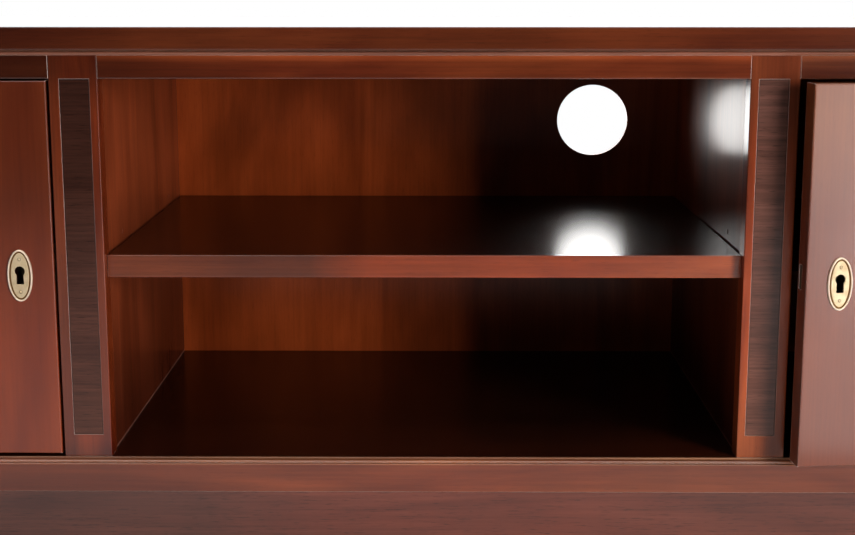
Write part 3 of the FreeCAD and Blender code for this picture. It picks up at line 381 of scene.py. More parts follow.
def wood(name, grain, dark, light, shift, figure=(2.6, 16.0), contrast=1.0, pores=0.22,
         fibre=0.16, cloud=0.22, lacquer=None, coat=1.0, edge=None, worn=0.75, wide=1.0,
         lean=0.0, fades=(), bore=None):
    """Wood along one axis: broad figure, clouding, fine fibre, short dark pores, and lacquer.

    The figure has so many marks a metre, along and across the grain, and the shift moves it.
    Lacquer is the blur of its reflections, that of the outside where none is given, and 0 for
    bare wood. Edge is the colour of the line along the arrises, and the next two are its strength
    and width: partly wear, mostly a painted highlight where a rounded arris catches the light, and
    a painted shadow in the seams round the inlays. Lean turns the lacquer's shine about Z. A bore
    is a place round which painted shade darkens the wood from front to back, as inside a keyhole.
    Each fade is a soft change of tone along an axis that paints light and shade: pools of light,
    falloff, shadow and highlights.
    """
    setup = settings("cabinet_wood")
    lacquer = setup.outside_lacquer if lacquer is None else lacquer
    made, tree, shader = blank_material(name)
    place = place_on(tree)
    space = node(tree, "ShaderNodeMapping", {"Vector": place, "Rotation": GRAIN_TURNS[grain],
                                             "Location": shift}).outputs[0]
    broad = streaks(tree, space, *figure, detail=3.0, bend=0.9)
    spread = FIGURE_SPREAD / contrast
    tone = blend(tree, remap(tree, broad, 0.5 - spread, 0.5 + spread), dark, light)
    tone = vary(tree, tone, streaks(tree, space, *CLOUD, detail=2.0), cloud)
    fine = streaks(tree, space, *FIBRE, detail=2.0)
    tone = vary(tree, tone, fine, fibre)
    axes = node(tree, "ShaderNodeSeparateXYZ", {"Vector": place}).outputs
    # Painted light and shade: soft gains of tone along an axis.
    for axis, first, last, before, after in fades:
        part_way = remap(tree, axes[axis], first, last)
        tone = blend(tree, 1.0, tone, blend(tree, part_way, before, after), "MULTIPLY")
    pore = remap(tree, streaks(tree, space, *PORE, detail=1.0), *PORE_LIMITS)
    tone = blend(tree, scaled(tree, pore, pores), tone, toned(dark, PORE_TONE))
    # Line along the arrises: partly wear, mostly a painted highlight; round the inlays a painted
    # shadow in the seam.
    line, rounded = edge_share(tree, setup.arris_width * wide)
    if worn:
        bare = tuple(setup.rubbed if edge is None else edge)
        tone = blend(tree, scaled(tree, line, worn), tone, bare)
    # Painted shade inside the keyhole: the wood darkens within the bore's reach.
    if bore is not None:
        away = node(tree, "ShaderNodeVectorMath", {0: stretched(tree, place, (1, 0, 1)),
                                                   1: (bore.x, 0, bore.z)}, operation="DISTANCE")
        unshaded = remap(tree, away.outputs["Value"], BORE - MM, BORE)
        tone = blend(tree, unshaded, toned(dark, KEYHOLE_SHADE_TONE), tone)
    sunk = relief(tree, scaled(tree, pore, -1.0), 0.25, 0.02 * MM, rounded)
    plug(tree, shader, {"Base Color": tone, "Normal": sunk})
    if lacquer:
        shine = node(tree, "ShaderNodeVectorRotate", {"Vector": rounded, "Angle": lean},
                     rotation_type="Z_AXIS").outputs[0] if lean else rounded
        film = relief(tree, speckle(tree, space, RIPPLES, 1.0), 0.08, RIPPLE_DEPTH, shine)
        plug(tree, shader, {"Coat Normal": film, "Coat Weight": coat, "Coat Roughness": lacquer,
                            "Specular IOR Level": 0.02, "Roughness": 0.5})
    else:
        plug(tree, shader, {"Specular IOR Level": 0.3,
                            "Roughness": remap(tree, fine, 0.3, 0.7, 0.62, 0.8)})
    return made


# Metal and plastic

# Marks a metre of the fine lines that polishing leaves, which run level
POLISH = (900.0, 900.0, 9000.0)


def brass_material():
    """Pale brass, tarnished in patches, with polishing lines.

    The groove is darker, with tarnish and painted shade; the rim is paler, with polish and a painted
    highlight.
    """
    setup = settings("cabinet_brass")
    made, tree, shader = blank_material("polished_brass")
    place = place_on(tree)
    patch = speckle(tree, place, 140.0, 3.0)
    tone = blend(tree, remap(tree, patch, 0.45, 0.75, 0.0, 0.5), tuple(setup.brass),
                 tuple(setup.brass_worn))
    # Marked brass: tarnish and painted shade in the groove, polish and a painted highlight on the
    # rim.
    for mark, finish in (("tarnish", setup.tarnish), ("rubbed", setup.brass_rubbed_and_highlight)):
        there = node(tree, "ShaderNodeAttribute", attribute_name=mark).outputs["Fac"]
        tone = blend(tree, there, tone, tuple(finish))
    lines = speckle(tree, stretched(tree, place, POLISH), 1.0, 1.0)
    rough = setup.brass_roughness
    plug(tree, shader, {"Base Color": tone, "Metallic": 0.7,
                        "Roughness": remap(tree, patch, 0.3, 0.75, rough - 0.06, rough + 0.12),
                        "Normal": relief(tree, lines, 0.12, 0.02 * MM)})
    return made


def speckled(name, scale, detail, dark, light):
    """Material of two tones mixed by fine noise, with its tree, its shader and the noise."""
    made, tree, shader = blank_material(name)
    patch = speckle(tree, place_on(tree), scale, detail)
    plug(tree, shader, {"Base Color": blend(tree, patch, dark, light)})
    return made, tree, shader, patch


def bronze_material():
    """Darkened brass of the lock cases and their bolts."""
    made, tree, shader, patch = speckled("dark_bronze", 180.0, 3.0, (0.045, 0.030, 0.014),
                                         (0.10, 0.068, 0.03))
    plug(tree, shader, {"Metallic": 0.6, "Roughness": remap(tree, patch, 0.3, 0.7, 0.42, 0.62)})
    return made


def steel_material():
    """Dull zinc-plated steel of the back panel screws."""
    made, tree, shader, patch = speckled("zinc", 420.0, 2.0, (0.28, 0.28, 0.27),
                                         (0.42, 0.41, 0.39))
    plug(tree, shader, {"Metallic": 1.0, "Roughness": remap(tree, patch, 0.3, 0.7, 0.48, 0.62)})
    return made


def glide_material():
    """Dark moulded plastic with a fine grain."""
    made, tree, shader, grain = speckled("glide_plastic", 1500.0, 2.0, (0.014, 0.012, 0.011),
                                         (0.028, 0.025, 0.022))
    plug(tree, shader, {"Roughness": 0.55, "Normal": relief(tree, grain, 0.2, 0.05 * MM)})
    return made


def shadow_material():
    """Near-black painted shadow, seen through a screw's slot and round a pin's head."""
    made, tree, shader, _ = speckled("slot_shadow", 900.0, 1.0, (0.012, 0.008, 0.005),
                                     (0.03, 0.02, 0.012))
    plug(tree, shader, {"Roughness": 0.7})
    return made


# Finishes

def kept(blocks, name, make):
    """The data block of that name, made first where there is none."""
    return blocks.get(name) or make()


def dress(material, *names):
    """Give CAD nodes one material, in place of what they came with."""
    for name in names:
        mesh = NODES[name].data
        mesh.materials.clear()
        mesh.materials.append(material)


def board(name, grain, shift, nodes, pair="mahogany", gains=(1.0, 1.0), **look):
    """Finish CAD nodes with one wood: a pair of tones, each made lighter or darker by its gain."""
    setup = settings("cabinet_wood")
    dark, light = (toned(getattr(setup, f"{pair}_{end}"), gain)
                   for end, gain in zip(("dark", "light"), gains))
    dress(wood(name, grain, dark, light, shift, **look), *nodes)


class CABINET_OT_case_finish(bpy.types.Operator):
    """Lacquer the case, each board with its grain along its length"""

    bl_idname = "cabinet.case_finish"
    bl_label = "Case finish"

    def execute(self, context):
        self.finish_outside()
        self.finish_stiles()
        self.finish_bay()
        self.finish_hidden()
        return {"FINISHED"}

    def finish_outside(self):
        """Plinth, top board, bead, rails, ends and sides."""
        floor_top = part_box("carcass_floor")[1][2]
        # Painted highlight along the base moulding's bead and shoulder, and painted light and shade
        # across the plinth's width.
        board("mahogany_along", "X", (0.3, 0.1, 0.7), ("base_moulding_front", "plinth_front"),
              gains=(1.5, 1.35),
              fades=(fade("Z", floor_top - 4.4 * MM, floor_top - 4.0 * MM, after=(1.8, 3.2, 4.8)),
                     fade("X", -0.22, -0.08, after=(1.22, 1.2, 1.08)),
                     fade("X", 0.08, 0.22, after=(0.7, 0.77, 0.9))))
        # Painted light and shade across the top board's width.
        board("mahogany_top", "X", (2.3, 1.1, 4.7), ("top_board",), gains=(0.75, 0.7), worn=0.9,
              fades=(fade("X", -0.32, -0.10, 0.9, (1.4, 1.55, 1.5)),
                     fade("X", 0.10, 0.24, after=(0.72, 0.65, 0.7))))
        # The bead's paler, greyer tones are a painted reflection of the pale floor.
        board("mahogany_bead", "X", (3.3, 0.1, 1.7), ("top_bead_front",), pair="bead")
        # The rail over the left door is a darker copy of the rails' wood: painted shade.
        board("mahogany_left_rail", "X", (2.3, 3.1, 4.7), ("left_top_rail",), gains=(0.42, 0.40),
              worn=0.95, wide=1.3)
        rail_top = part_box("centre_top_rail")[1][2]
        # Painted highlight along the rails' top edge under the bead, and painted light and shade
        # across their width.
        board("mahogany_rails", "X", (4.1, 2.3, 0.2), ("centre_top_rail", "right_top_rail"),
              worn=0.95, wide=1.3,
              fades=(fade("Z", rail_top - 6.0 * MM, rail_top - 1.0 * MM, after=(2.1, 2.3, 2.2)),
                     fade("X", -0.26, -0.12, 0.65, 1.3), fade("X", -0.08, 0.0, after=0.8),
                     fade("X", 0.10, 0.20, after=(1.25, 1.3, 1.3)),
                     fade("X", 0.28, 0.30, after=(0.75, 1.0, 1.3))))
        board("mahogany_ends", "Y", (2.2, 8.1, 0.4),
              [f"{piece}_{side}" for piece in ("top_bead", "base_moulding", "plinth")
               for side in ("left", "right")])
        board("mahogany_upright", "Z", (0.9, 3.3, 6.1), ("left_side", "right_side"))

    def finish_stiles(self):
        """Pilasters, with painted light and shade along each pair."""
        shift, gains = (5.9, 0.3, 1.4), (1.6, 1.8)
        board("mahogany_left_stiles", "Z", shift, ("left_inner_pilaster", "left_outer_pilaster"),
              gains=gains,
              fades=(fade("Z", 0.40, 0.44, after=0.5), fade("Z", 0.10, 0.26, (1.3, 1.15, 1.0)),
                     fade("Z", 0.090, 0.115, 0.4), fade("X", -0.316, -0.300, 0.8, (1.2, 1.15, 1.0))))
        board("mahogany_right_stiles", "Z", shift, ("right_inner_pilaster", "right_outer_pilaster"),
              gains=gains, coat=0.5,
              fades=(fade("Z", 0.26, 0.36, (1.85, 1.75, 1.5)),
                     fade("Z", 0.37, 0.42, after=(0.65, 0.75, 0.9)),
                     fade("Z", 0.09, 0.20, (0.6, 0.8, 0.9))))

    def finish_bay(self):
        """Shelves, floor, walls and back panels."""
        inside = settings("cabinet_wood").inside_lacquer
        (_, front, _), (_, _, floor_top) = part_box("carcass_floor")
        flat = {"gains": (0.30, 0.18), "lacquer": inside, "coat": 0.7, "worn": 0.0}
        # Painted shade deeper into the bay on the shelves and the carcass top.
        board("mahogany_shelf", "X", (1.9, 5.3, 3.2),
              ("centre_shelf", "left_shelf", "right_shelf", "carcass_top"), **flat,
              fades=(fade("Y", -0.17, -0.08, 1.3, (0.5, 0.55, 0.7)),))
        # Painted shade deeper into the bay, and a painted highlight along the floor's front edge.
        board("mahogany_floor", "X", (2.9, 1.3, 3.2), ("carcass_floor",), **flat,
              fades=(fade("Y", -0.18, -0.08, 1.6, (0.5, 0.6, 0.8)),
                     fade("Y", front + 1.0 * MM, front + 3.0 * MM, (7.0, 16.0, 26.0))))
        # Painted light and shade across the shelf's lipping.
        board("mahogany_lipping", "X", (7.7, 1.2, 2.4), ("centre_shelf_lipping",),
              gains=(1.5, 1.7),
              fades=(fade("X", -0.24, -0.16, 0.9, 0.6),
                     fade("X", -0.10, -0.05, after=(2.6, 2.05, 1.35)),
                     fade("X", 0.12, 0.24, 0.85, (0.82, 1.02, 1.22))))
        # Painted shade low on the walls, and a painted highlight along their foot on the bay floor.
        board("mahogany_walls", "Z", (3.1, 7.3, 2.1), ("left_partition", "right_partition"),
              pair="inside", figure=(2.0, 14.0), lacquer=0.9 * inside, coat=0.42, worn=0.1,
              lean=math.radians(2.0),
              fades=(fade("Z", 0.12, 0.33, (0.25, 0.27, 0.5), (0.87, 0.97, 1.5)),
                     fade("Z", floor_top + 1.0 * MM, floor_top + 1.6 * MM, (3.2, 7.0, 13.0))))
        board("mahogany_backs", "Z", (6.4, 2.9, 9.2),
              ("centre_back_panel", "left_back_panel", "right_back_panel"), pair="inside",
              figure=(2.2, 13.0), fibre=0.10, cloud=0.34, coat=0.3, lacquer=inside)

    def finish_hidden(self):
        """Bare wood at the back, underneath and behind the doors."""
        bare = {"pair": "plain", "lacquer": 0.0, "worn": 0.0}
        board("hidden_wood", "X", (0.2, 0.5, 0.1), ("top_spacer_back", "plinth_back", "door_stops"),
              **bare)
        board("hidden_blocks", "Z", (1.2, 0.7, 2.1), ("plinth_corner_blocks", "plinth_middle_bearer"),
              **bare)


class CABINET_OT_inlay_finish(bpy.types.Operator):
    """Dark veneer in the pilasters, its grain across, and round the plinth, its grain along"""

    bl_idname = "cabinet.inlay_finish"
    bl_label = "Inlay finish"

    def execute(self, context):
        # Near-black line round the inlays: painted shadow in the groove they sit in.
        seam_shade = toned(settings("cabinet_wood").inlay_dark, 0.2)
        # Painted light and shade up each pair of inlays.
        for side, before, after, shift in (
                ("left", (2.1, 2.0, 1.9), (0.75, 0.75, 0.8), (0.4, 3.2, 5.5)),
                ("right", (2.5, 2.6, 2.6), (2.0, 2.5, 3.0), (3.4, 1.2, 2.5))):
            board(f"inlay_across_{side}", "X", shift, (f"{side}_inner_inlay", f"{side}_outer_inlay"),
                  pair="inlay", figure=(9.0, 60.0), contrast=0.7, pores=0.5, fibre=0.3, coat=0.55,
                  edge=seam_shade, worn=0.9, wide=1.8, fades=(fade("Z", 0.12, 0.40, before, after),))
        plinth = {"pair": "inlay", "gains": (2.2, 2.0), "figure": (3.0, 26.0), "pores": 0.6,
                  "fibre": 0.2, "edge": seam_shade, "worn": 0.6}
        # Painted light and shade across the plinth's inlay.
        board("inlay_along", "X", (2.4, 1.2, 0.5), ("plinth_front_inlay",), **plinth,
              fades=(fade("X", -0.20, -0.08, (0.95, 0.8, 0.8), (1.5, 0.98, 0.85)),
                     fade("X", 0.12, 0.26, after=(0.75, 0.88, 0.95))))
        board("inlay_ends", "Y", (1.4, 6.2, 2.5), ("plinth_left_inlay", "plinth_right_inlay"),
              **plinth)
        return {"FINISHED"}


class CABINET_OT_door_finish(bpy.types.Operator):
    """Lacquer the two doors, their grain upright"""

    bl_idname = "cabinet.door_finish"
    bl_label = "Door finish"

    def execute(self, context):
        # Near-white line along the doors' arrises: partly wear, mostly a painted highlight.
        edge = settings("cabinet_wood").door_rubbed
        # Each door's glow is painted light: lighter low on the left door and high on the right one;
        # the bore adds painted shade inside the keyhole.
        for side, shift, glow in (
                ("left", (2.7, 0.4, 8.3), fade("Z", 0.20, 0.33, (2.1, 1.7, 1.0))),
                ("right", (9.1, 4.4, 1.7), fade("Z", 0.32, 0.41, after=(1.35, 1.9, 1.7)))):
            board(f"mahogany_{side}_door", "Z", shift, (f"{side}_door_panel",), gains=(1.2, 1.3),
                  figure=(1.6, 9.0), contrast=0.6, pores=0.12, fibre=0.08, cloud=0.12, worn=1.0,
                  wide=1.6, edge=edge, fades=(glow,), bore=middle(f"{side}_key_plate"))
        return {"FINISHED"}


class CABINET_OT_metal_finish(bpy.types.Operator):
    """Brass for hinges, strike plates and shelf pins, bronze for locks, plastic for the glides"""

    bl_idname = "cabinet.metal_finish"
    bl_label = "Metal finish"

    def execute(self, context):
        dress(kept(bpy.data.materials, "polished_brass", brass_material), "hinge_frame_leaves",
              "left_hinge_leaves", "right_hinge_leaves", "strike_plates", "shelf_pins")
        dress(bronze_material(), *(f"{side}_lock_{piece}" for side in ("left", "right")
                                   for piece in ("case", "bolt")))
        dress(glide_material(), "floor_glides")
        return {"FINISHED"}


# Pieces

def mesh_object(name, mesh, material):
    """Object for a mesh with one material."""
    mesh.materials.append(material)
    piece = bpy.data.objects.new(name, mesh)
    bpy.context.collection.objects.link(piece)
    return piece


def keyhole_ray(angle, radius, slot, foot_half, foot):
    """Where a ray from the keyhole's round meets the keyhole: its round, slot or foot."""
    way = Vector((math.cos(angle), math.sin(angle)))
    shoulder = Vector((slot, -math.sqrt(radius ** 2 - slot ** 2)))
    toe = Vector((foot_half, foot))
    from_down = abs(math.remainder(angle + math.pi / 2, math.tau))
    if from_down > math.pi / 2 - math.atan2(abs(shoulder.y), shoulder.x):
        return way * radius
    if from_down < math.pi / 2 - math.atan2(abs(toe.y), toe.x):
        return way * (foot / way.y)
    side = toe - shoulder
    mirrored = Vector((abs(way.x), way.y))
    return way * (shoulder.cross(side) / mirrored.cross(side))


# Share of the rim's height that stands straight, the arcs of its crown, and how many of them are
# marked for paler brass: polish and a painted highlight
RIM_WALL = 0.35
RIM_ARCS = 6
RIM_RUBBED_AND_HIGHLIGHT = 4


def plate_profile(setup):
    """Key plate's section from its edge inwards: how far in, how high, and its mark."""
    rim, crown = setup.rim_width, setup.rim_height
    low, field = setup.groove_height, setup.field_height
    inner = rim + setup.groove_width
    profile = [(0.0, 0.0, None), (0.0, crown * RIM_WALL, None)]
    for turn in range(1, RIM_ARCS):
        angle = math.pi * turn / RIM_ARCS
        profile.append((rim / 2 * (1 - math.cos(angle)),
                        crown * (RIM_WALL + (1 - RIM_WALL) * math.sin(angle)),
                        "rubbed" if turn <= RIM_RUBBED_AND_HIGHLIGHT else None))
    groove = [(rim, low + 0.15 * MM), (rim + 0.15 * MM, low), (inner - 0.1 * MM, low),
              (inner, low + 0.1 * MM)]
    eased = [(inner + 0.05 * MM, field - 0.25 * MM), (inner + 0.3 * MM, field - 0.03 * MM),
             (inner + 0.7 * MM, field)]
    # The groove is marked for dark brass: tarnish, and painted shade under the rim.
    profile += [(*point, "tarnish") for point in groove]
    return profile + [(*point, None) for point in eased]


def plate_mesh(name, width, tall):
    """Key plate facing +Z: a rounded oval rim, a groove, a soft-edged field and the keyhole."""
    setup = settings("cabinet_brass")
    steps, field = setup.plate_steps, setup.field_height
    turns = [math.tau * step / steps for step in range(steps)]
    work = bmesh.new()
    loops, marked = [], {"tarnish": [], "rubbed": []}
    for inward, rise, mark in plate_profile(setup):
        a, b = width / 2 - inward, tall / 2 - inward
        loops.append([work.verts.new((a * math.cos(turn), b * math.sin(turn), rise))
                      for turn in turns])
        if mark:
            marked[mark] += loops[-1]
    ease = 0.15 * MM
    for depth, widen in ((field, ease), (field - ease, 0.0), (0.0, 0.0)):
        hole = [keyhole_ray(turn, KEY_RADIUS + widen, KEY_SLOT + widen, KEY_FOOT_HALF + widen,
                            KEY_FOOT - widen) for turn in turns]
        loops.append([work.verts.new((point.x, point.y + KEY_RISE, depth)) for point in hole])
    for outer, within in zip(loops, loops[1:] + loops[:1]):
        for step in range(steps):
            after = (step + 1) % steps
            work.faces.new((outer[step], outer[after], within[after], within[step]))
    bmesh.ops.recalc_face_normals(work, faces=work.faces)
    for face in work.faces:
        face.smooth = abs(face.normal.z) < 0.999
    work.verts.index_update()
    places = {label: [vertex.index for vertex in found] for label, found in marked.items()}
    mesh = bpy.data.meshes.new(name)
    work.to_mesh(mesh)
    work.free()
    for label, found in places.items():
        mark = mesh.attributes.new(label, "FLOAT", "POINT")
        for index in found:
            mark.data[index].value = 1.0
    return mesh


class CABINET_OT_key_plates(bpy.types.Operator):
    """Oval brass key plate on each door, in place of the plain solid one"""

    bl_idname = "cabinet.key_plates"
    bl_label = "Key plates"

    def execute(self, context):
        low, high = corners("left_key_plate")
        centre = Vector(((low.x + high.x) / 2, high.y, (low.z + high.z) / 2))
        places = twinned([(centre, Vector((0, -1, 0)))])
        brass = kept(bpy.data.materials, "polished_brass", brass_material)
        for side, turn in (("left", 0.0), ("right", AJAR)):
            mesh = plate_mesh(f"{side}_oval_plate", high.x - low.x, high.z - low.z)
            upright = Matrix.Rotation(turn, 4, "Z") @ Matrix.Rotation(math.pi / 2, 4, "X")
            spot, _ = places[f"{side}_door"][0]
            mesh.transform(Matrix.Translation(spot) @ upright)
            plate = mesh_object(f"{side}_oval_plate", mesh, brass)
            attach(plate, f"{side}_door")
            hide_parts(f"{side}_key_plate")
        return {"FINISHED"}


# Pins and screws

def triple(tree, x=0.0, y=0.0, z=0.0):
    """Vector of three sizes, inside a node tree."""
    return node(tree, "ShaderNodeCombineXYZ", {"X": x, "Y": y, "Z": z}).outputs[0]


def pin_head(tree, radius, height):
    """Low round head."""
    ball = node(tree, "GeometryNodeMeshUVSphere", {"Segments": 20, "Rings": 12, "Radius": 1.0})
    flat = node(tree, "GeometryNodeTransform",
                {"Geometry": ball.outputs[0], "Scale": triple(tree, radius, radius, height)})
    return node(tree, "GeometryNodeSetShadeSmooth", {"Geometry": flat.outputs[0]}).outputs[0]


def disc_head(tree, radius, height, taper=1.0):
    """Flat round head, or a disc of painted shadow, narrower above where it has a taper."""
    above = radius if taper == 1.0 else scaled(tree, radius, taper)
    return node(tree, "GeometryNodeMeshCone",
                {"Vertices": 24, "Side Segments": 1, "Radius Top": above, "Radius Bottom": radius,
                 "Depth": height}).outputs[0]


# Cuts of a slotted and of a cross head: each cut's length and width against the head's radius,
# and the lift of its middle against the head's height
SLOT_CUTS = ((2.4, 0.22, 1.12),)
CROSS_CUTS = ((1.5, 0.26, 1.12), (0.26, 1.5, 1.16))
EASED = 0.9


def slotted_head(tree, radius, height, cuts=SLOT_CUTS):
    """Flat head with its edge eased, and cut across the top."""
    head = disc_head(tree, radius, height, EASED)
    for along, across, lift in cuts:
        bar = node(tree, "GeometryNodeMeshCube",
                   {"Size": triple(tree, scaled(tree, radius, along), scaled(tree, radius, across),
                                   scaled(tree, height, 2.0))})
        lifted = node(tree, "GeometryNodeTransform",
                      {"Geometry": bar.outputs[0],
                       "Translation": triple(tree, z=scaled(tree, height, lift))})
        head = node(tree, "GeometryNodeMeshBoolean", {"Mesh 1": head, "Mesh 2": lifted.outputs[0]},
                    operation="DIFFERENCE", solver="MANIFOLD").outputs[0]
    return head


def cross_head(tree, radius, height):
    """Flat head with a cross."""
    return slotted_head(tree, radius, height, CROSS_CUTS)


HEADS = {"round_pins": pin_head, "screw_seats": disc_head, "slotted_screws": slotted_head,
         "cross_screws": cross_head}


def fastener_tree(name):
    """Node tree that sets one head on each point, turned by the point's own facing and turn."""
    tree = bpy.data.node_groups.new(name, "GeometryNodeTree")
    face = tree.interface
    face.new_socket("Geometry", in_out="INPUT", socket_type="NodeSocketGeometry")
    for label, note in (("Radius", "Head's radius"), ("Height", "Head's height")):
        socket = face.new_socket(label, in_out="INPUT", socket_type="NodeSocketFloat",
                                 description=note)
        socket.subtype = "DISTANCE"
    face.new_socket("Finish", in_out="INPUT", socket_type="NodeSocketMaterial")
    face.new_socket("Geometry", in_out="OUTPUT", socket_type="NodeSocketGeometry")
    given = node(tree, "NodeGroupInput").outputs
    head = HEADS[name](tree, given["Radius"], given["Height"])
    facing, turn = (node(tree, "GeometryNodeInputNamedAttribute", {"Name": label},
                         data_type=kind).outputs["Attribute"]
                    for label, kind in (("facing", "FLOAT_VECTOR"), ("turn", "FLOAT")))
    aimed = node(tree, "FunctionNodeAlignRotationToVector", {"Vector": facing}, axis="Z")
    spin = node(tree, "FunctionNodeAxisAngleToRotation", {"Axis": (0, 0, 1), "Angle": turn})
    turned = node(tree, "FunctionNodeRotateRotation",
                  {"Rotation": aimed.outputs[0], "Rotate By": spin.outputs[0]},
                  rotation_space="LOCAL")
    placed = node(tree, "GeometryNodeInstanceOnPoints",
                  {"Points": given["Geometry"], "Instance": head, "Rotation": turned.outputs[0]})
    real = node(tree, "GeometryNodeRealizeInstances", {"Geometry": placed.outputs[0]})
    dressed = node(tree, "GeometryNodeSetMaterial",
                   {"Geometry": real.outputs[0], "Material": given["Finish"]})
    node(tree, "NodeGroupOutput", {"Geometry": dressed.outputs[0]})
    return tree


def fasteners(name, kind, places, radius, height, material, body):
    """One head on each place, made a plain mesh that rides on its body."""
    tree = kept(bpy.data.node_groups, kind, lambda: fastener_tree(kind))
    points = bpy.data.meshes.new(f"{name}_places")
    points.from_pydata([tuple(place) for place, _ in places], [], [])
    points.attributes.new("facing", "FLOAT_VECTOR", "POINT")
    points.attributes.new("turn", "FLOAT", "POINT")
    golden = math.pi * (3 - math.sqrt(5))
    start = settings("cabinet_fixings").seed
    for index, (_, way) in enumerate(places):
        points.attributes["facing"].data[index].vector = tuple(way)
        points.attributes["turn"].data[index].value = golden * (index + start)
    maker = bpy.data.objects.new(f"{name}_maker", points)
    bpy.context.collection.objects.link(maker)
    modifier = maker.modifiers.new("heads", "NODES")
    modifier.node_group = tree
    values = {"Radius": radius, "Height": height, "Finish": material}
    for item in tree.interface.items_tree:
        if item.in_out == "INPUT" and item.name in values:
            modifier[item.identifier] = values[item.name]
    bpy.context.view_layer.update()
    evaluated = maker.evaluated_get(bpy.context.evaluated_depsgraph_get())
    mesh = bpy.data.meshes.new_from_object(evaluated)
    bpy.data.objects.remove(maker)
    mesh.materials.clear()
    mesh.polygons.foreach_set("material_index", [0] * len(mesh.polygons))
    piece = mesh_object(name, mesh, material)
    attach(piece, body)


# Height of a near-black disc of painted shadow against the flush height, and its radius against a
# screw's or a pin's
SHADOW_DISC_SHARE = 0.4
SHADOW_DISC_WIDER = 1.12
PIN_SHADOW_DISC_WIDER = 1.25


def over_shadow_discs(stem, kind, places, radius, height, body, shadow_radius):
    """Brass heads, each over a near-black disc of painted shadow that shows through its slot or round
    it.
    """
    fasteners(f"{stem}_seats", "screw_seats", places, shadow_radius,
              settings("cabinet_fixings").flush * SHADOW_DISC_SHARE,
              kept(bpy.data.materials, "slot_shadow", shadow_material), body)
    fasteners(f"{stem}s", kind, places, radius, height,
              kept(bpy.data.materials, "polished_brass", brass_material), body)


class CABINET_OT_plate_pins(bpy.types.Operator):
    """Two round-headed brass pins in each key plate"""

    bl_idname = "cabinet.plate_pins"
    bl_label = "Key-plate pins"

    def execute(self, context):
        setup = settings("cabinet_fixings")
        low, high = corners("left_key_plate")
        face = high.y - settings("cabinet_brass").field_height
        middle_x, middle_z = (low.x + high.x) / 2, (low.z + high.z) / 2
        pins = [(Vector((middle_x, face, middle_z + rise)), Vector((0, -1, 0)))
                for rise in (-setup.pin_reach, setup.pin_reach)]
        for body, places in twinned(pins).items():
            over_shadow_discs(f"{body.removesuffix('_door')}_plate_pin", "round_pins", places,
                   setup.pin_radius, setup.pin_crown, body, setup.pin_radius * PIN_SHADOW_DISC_WIDER)
        return {"FINISHED"}


# Screws of one hinge leaf: share of its height, and of its depth from its middle
LEAF_SCREWS = ((0.15, -0.13), (0.5, 0.16), (0.85, -0.13))


class CABINET_OT_hinge_screws(bpy.types.Operator):
    """Three countersunk brass screws in each hinge leaf"""

    bl_idname = "cabinet.hinge_screws"
    bl_label = "Hinge screws"

    def execute(self, context):
        setup = settings("cabinet_fixings")
        low, high = corners("left_hinge_leaves")
        hinge_x, half_gap = -HINGE.x, LEAF_GAP / 2
        depth = high.y - LEAF_DEEP / 2
        door, still = [], []
        for foot in (low.z, high.z - LEAF_TALL):
            for up, shift in LEAF_SCREWS:
                y, z = depth + shift * LEAF_DEEP, foot + up * LEAF_TALL
                door.append((Vector((hinge_x + half_gap, y, z)), Vector((-1, 0, 0))))
                still.append((Vector((hinge_x - half_gap, y, z)), Vector((1, 0, 0))))
        for body, places in twinned(door, still).items():
            over_shadow_discs(f"{body}_hinge_screw", "slotted_screws", places, setup.leaf_screw, setup.flush,
                   body, setup.leaf_screw * SHADOW_DISC_WIDER)
        return {"FINISHED"}


class CABINET_OT_lock_screws(bpy.types.Operator):
    """Brass screws in the lock cases and in the strike plates"""

    bl_idname = "cabinet.lock_screws"
    bl_label = "Lock screws"

    def execute(self, context):
        setup = settings("cabinet_fixings")
        inset = 2 * setup.lock_screw
        low, high = corners("left_lock_case")
        case = [(Vector((x, high.y, z)), Vector((0, 1, 0)))
                for x in (low.x + inset, high.x - inset) for z in (low.z + inset, high.z - inset)]
        low, high = corners("strike_plates")
        middle_y = (low.y + high.y) / 2
        strike = [(Vector((low.x, middle_y, z)), Vector((-1, 0, 0)))
                  for z in (low.z + inset * 1.1, high.z - inset * 1.1)]
        for body, places in twinned(case, strike).items():
            stem = "strike_screw" if body == "cabinet" else f"{body}_lock_screw"
            over_shadow_discs(stem, "slotted_screws", places, setup.lock_screw, setup.flush * 2, body,
                   setup.lock_screw * SHADOW_DISC_WIDER)
        return {"FINISHED"}


class CABINET_OT_back_screws(bpy.types.Operator):
    """Cross-headed screws round the three back panels"""

    bl_idname = "cabinet.back_screws"
    bl_label = "Back panel screws"

    def execute(self, context):
        setup = settings("cabinet_fixings")
        edge = setup.panel_edge
        places = []
        for name in ("left_back_panel", "centre_back_panel", "right_back_panel"):
            low, high = corners(name)
            spans = []
            for start, end in ((low.x + edge, high.x - edge), (low.z + edge, high.z - edge)):
                count = max(1, math.ceil((end - start) / setup.panel_pitch))
                spans.append([start + (end - start) * step / count for step in range(count + 1)])
            across, upward = spans
            ring = [(x, z) for x in across for z in (upward[0], upward[-1])]
            ring += [(x, z) for z in upward[1:-1] for x in (across[0], across[-1])]
            places += [(Vector((x, high.y, z)), Vector((0, 1, 0))) for x, z in ring]
        fasteners("back_panel_screws", "cross_screws", places, setup.panel_screw, setup.proud,
                  steel_material(), "cabinet")
        return {"FINISHED"}


# Stage

WHITE = (1.0, 1.0, 1.0)
# Distances from the cabinet between which the floor turns white, and its mirrored glow dies away
FLOOR_WHITE = (0.95, 2.1)
FLOOR_GLOW = (0.7, 2.3)
# Turn of the card that lies level at the right
LOW_CARD_TURN = math.radians(26)


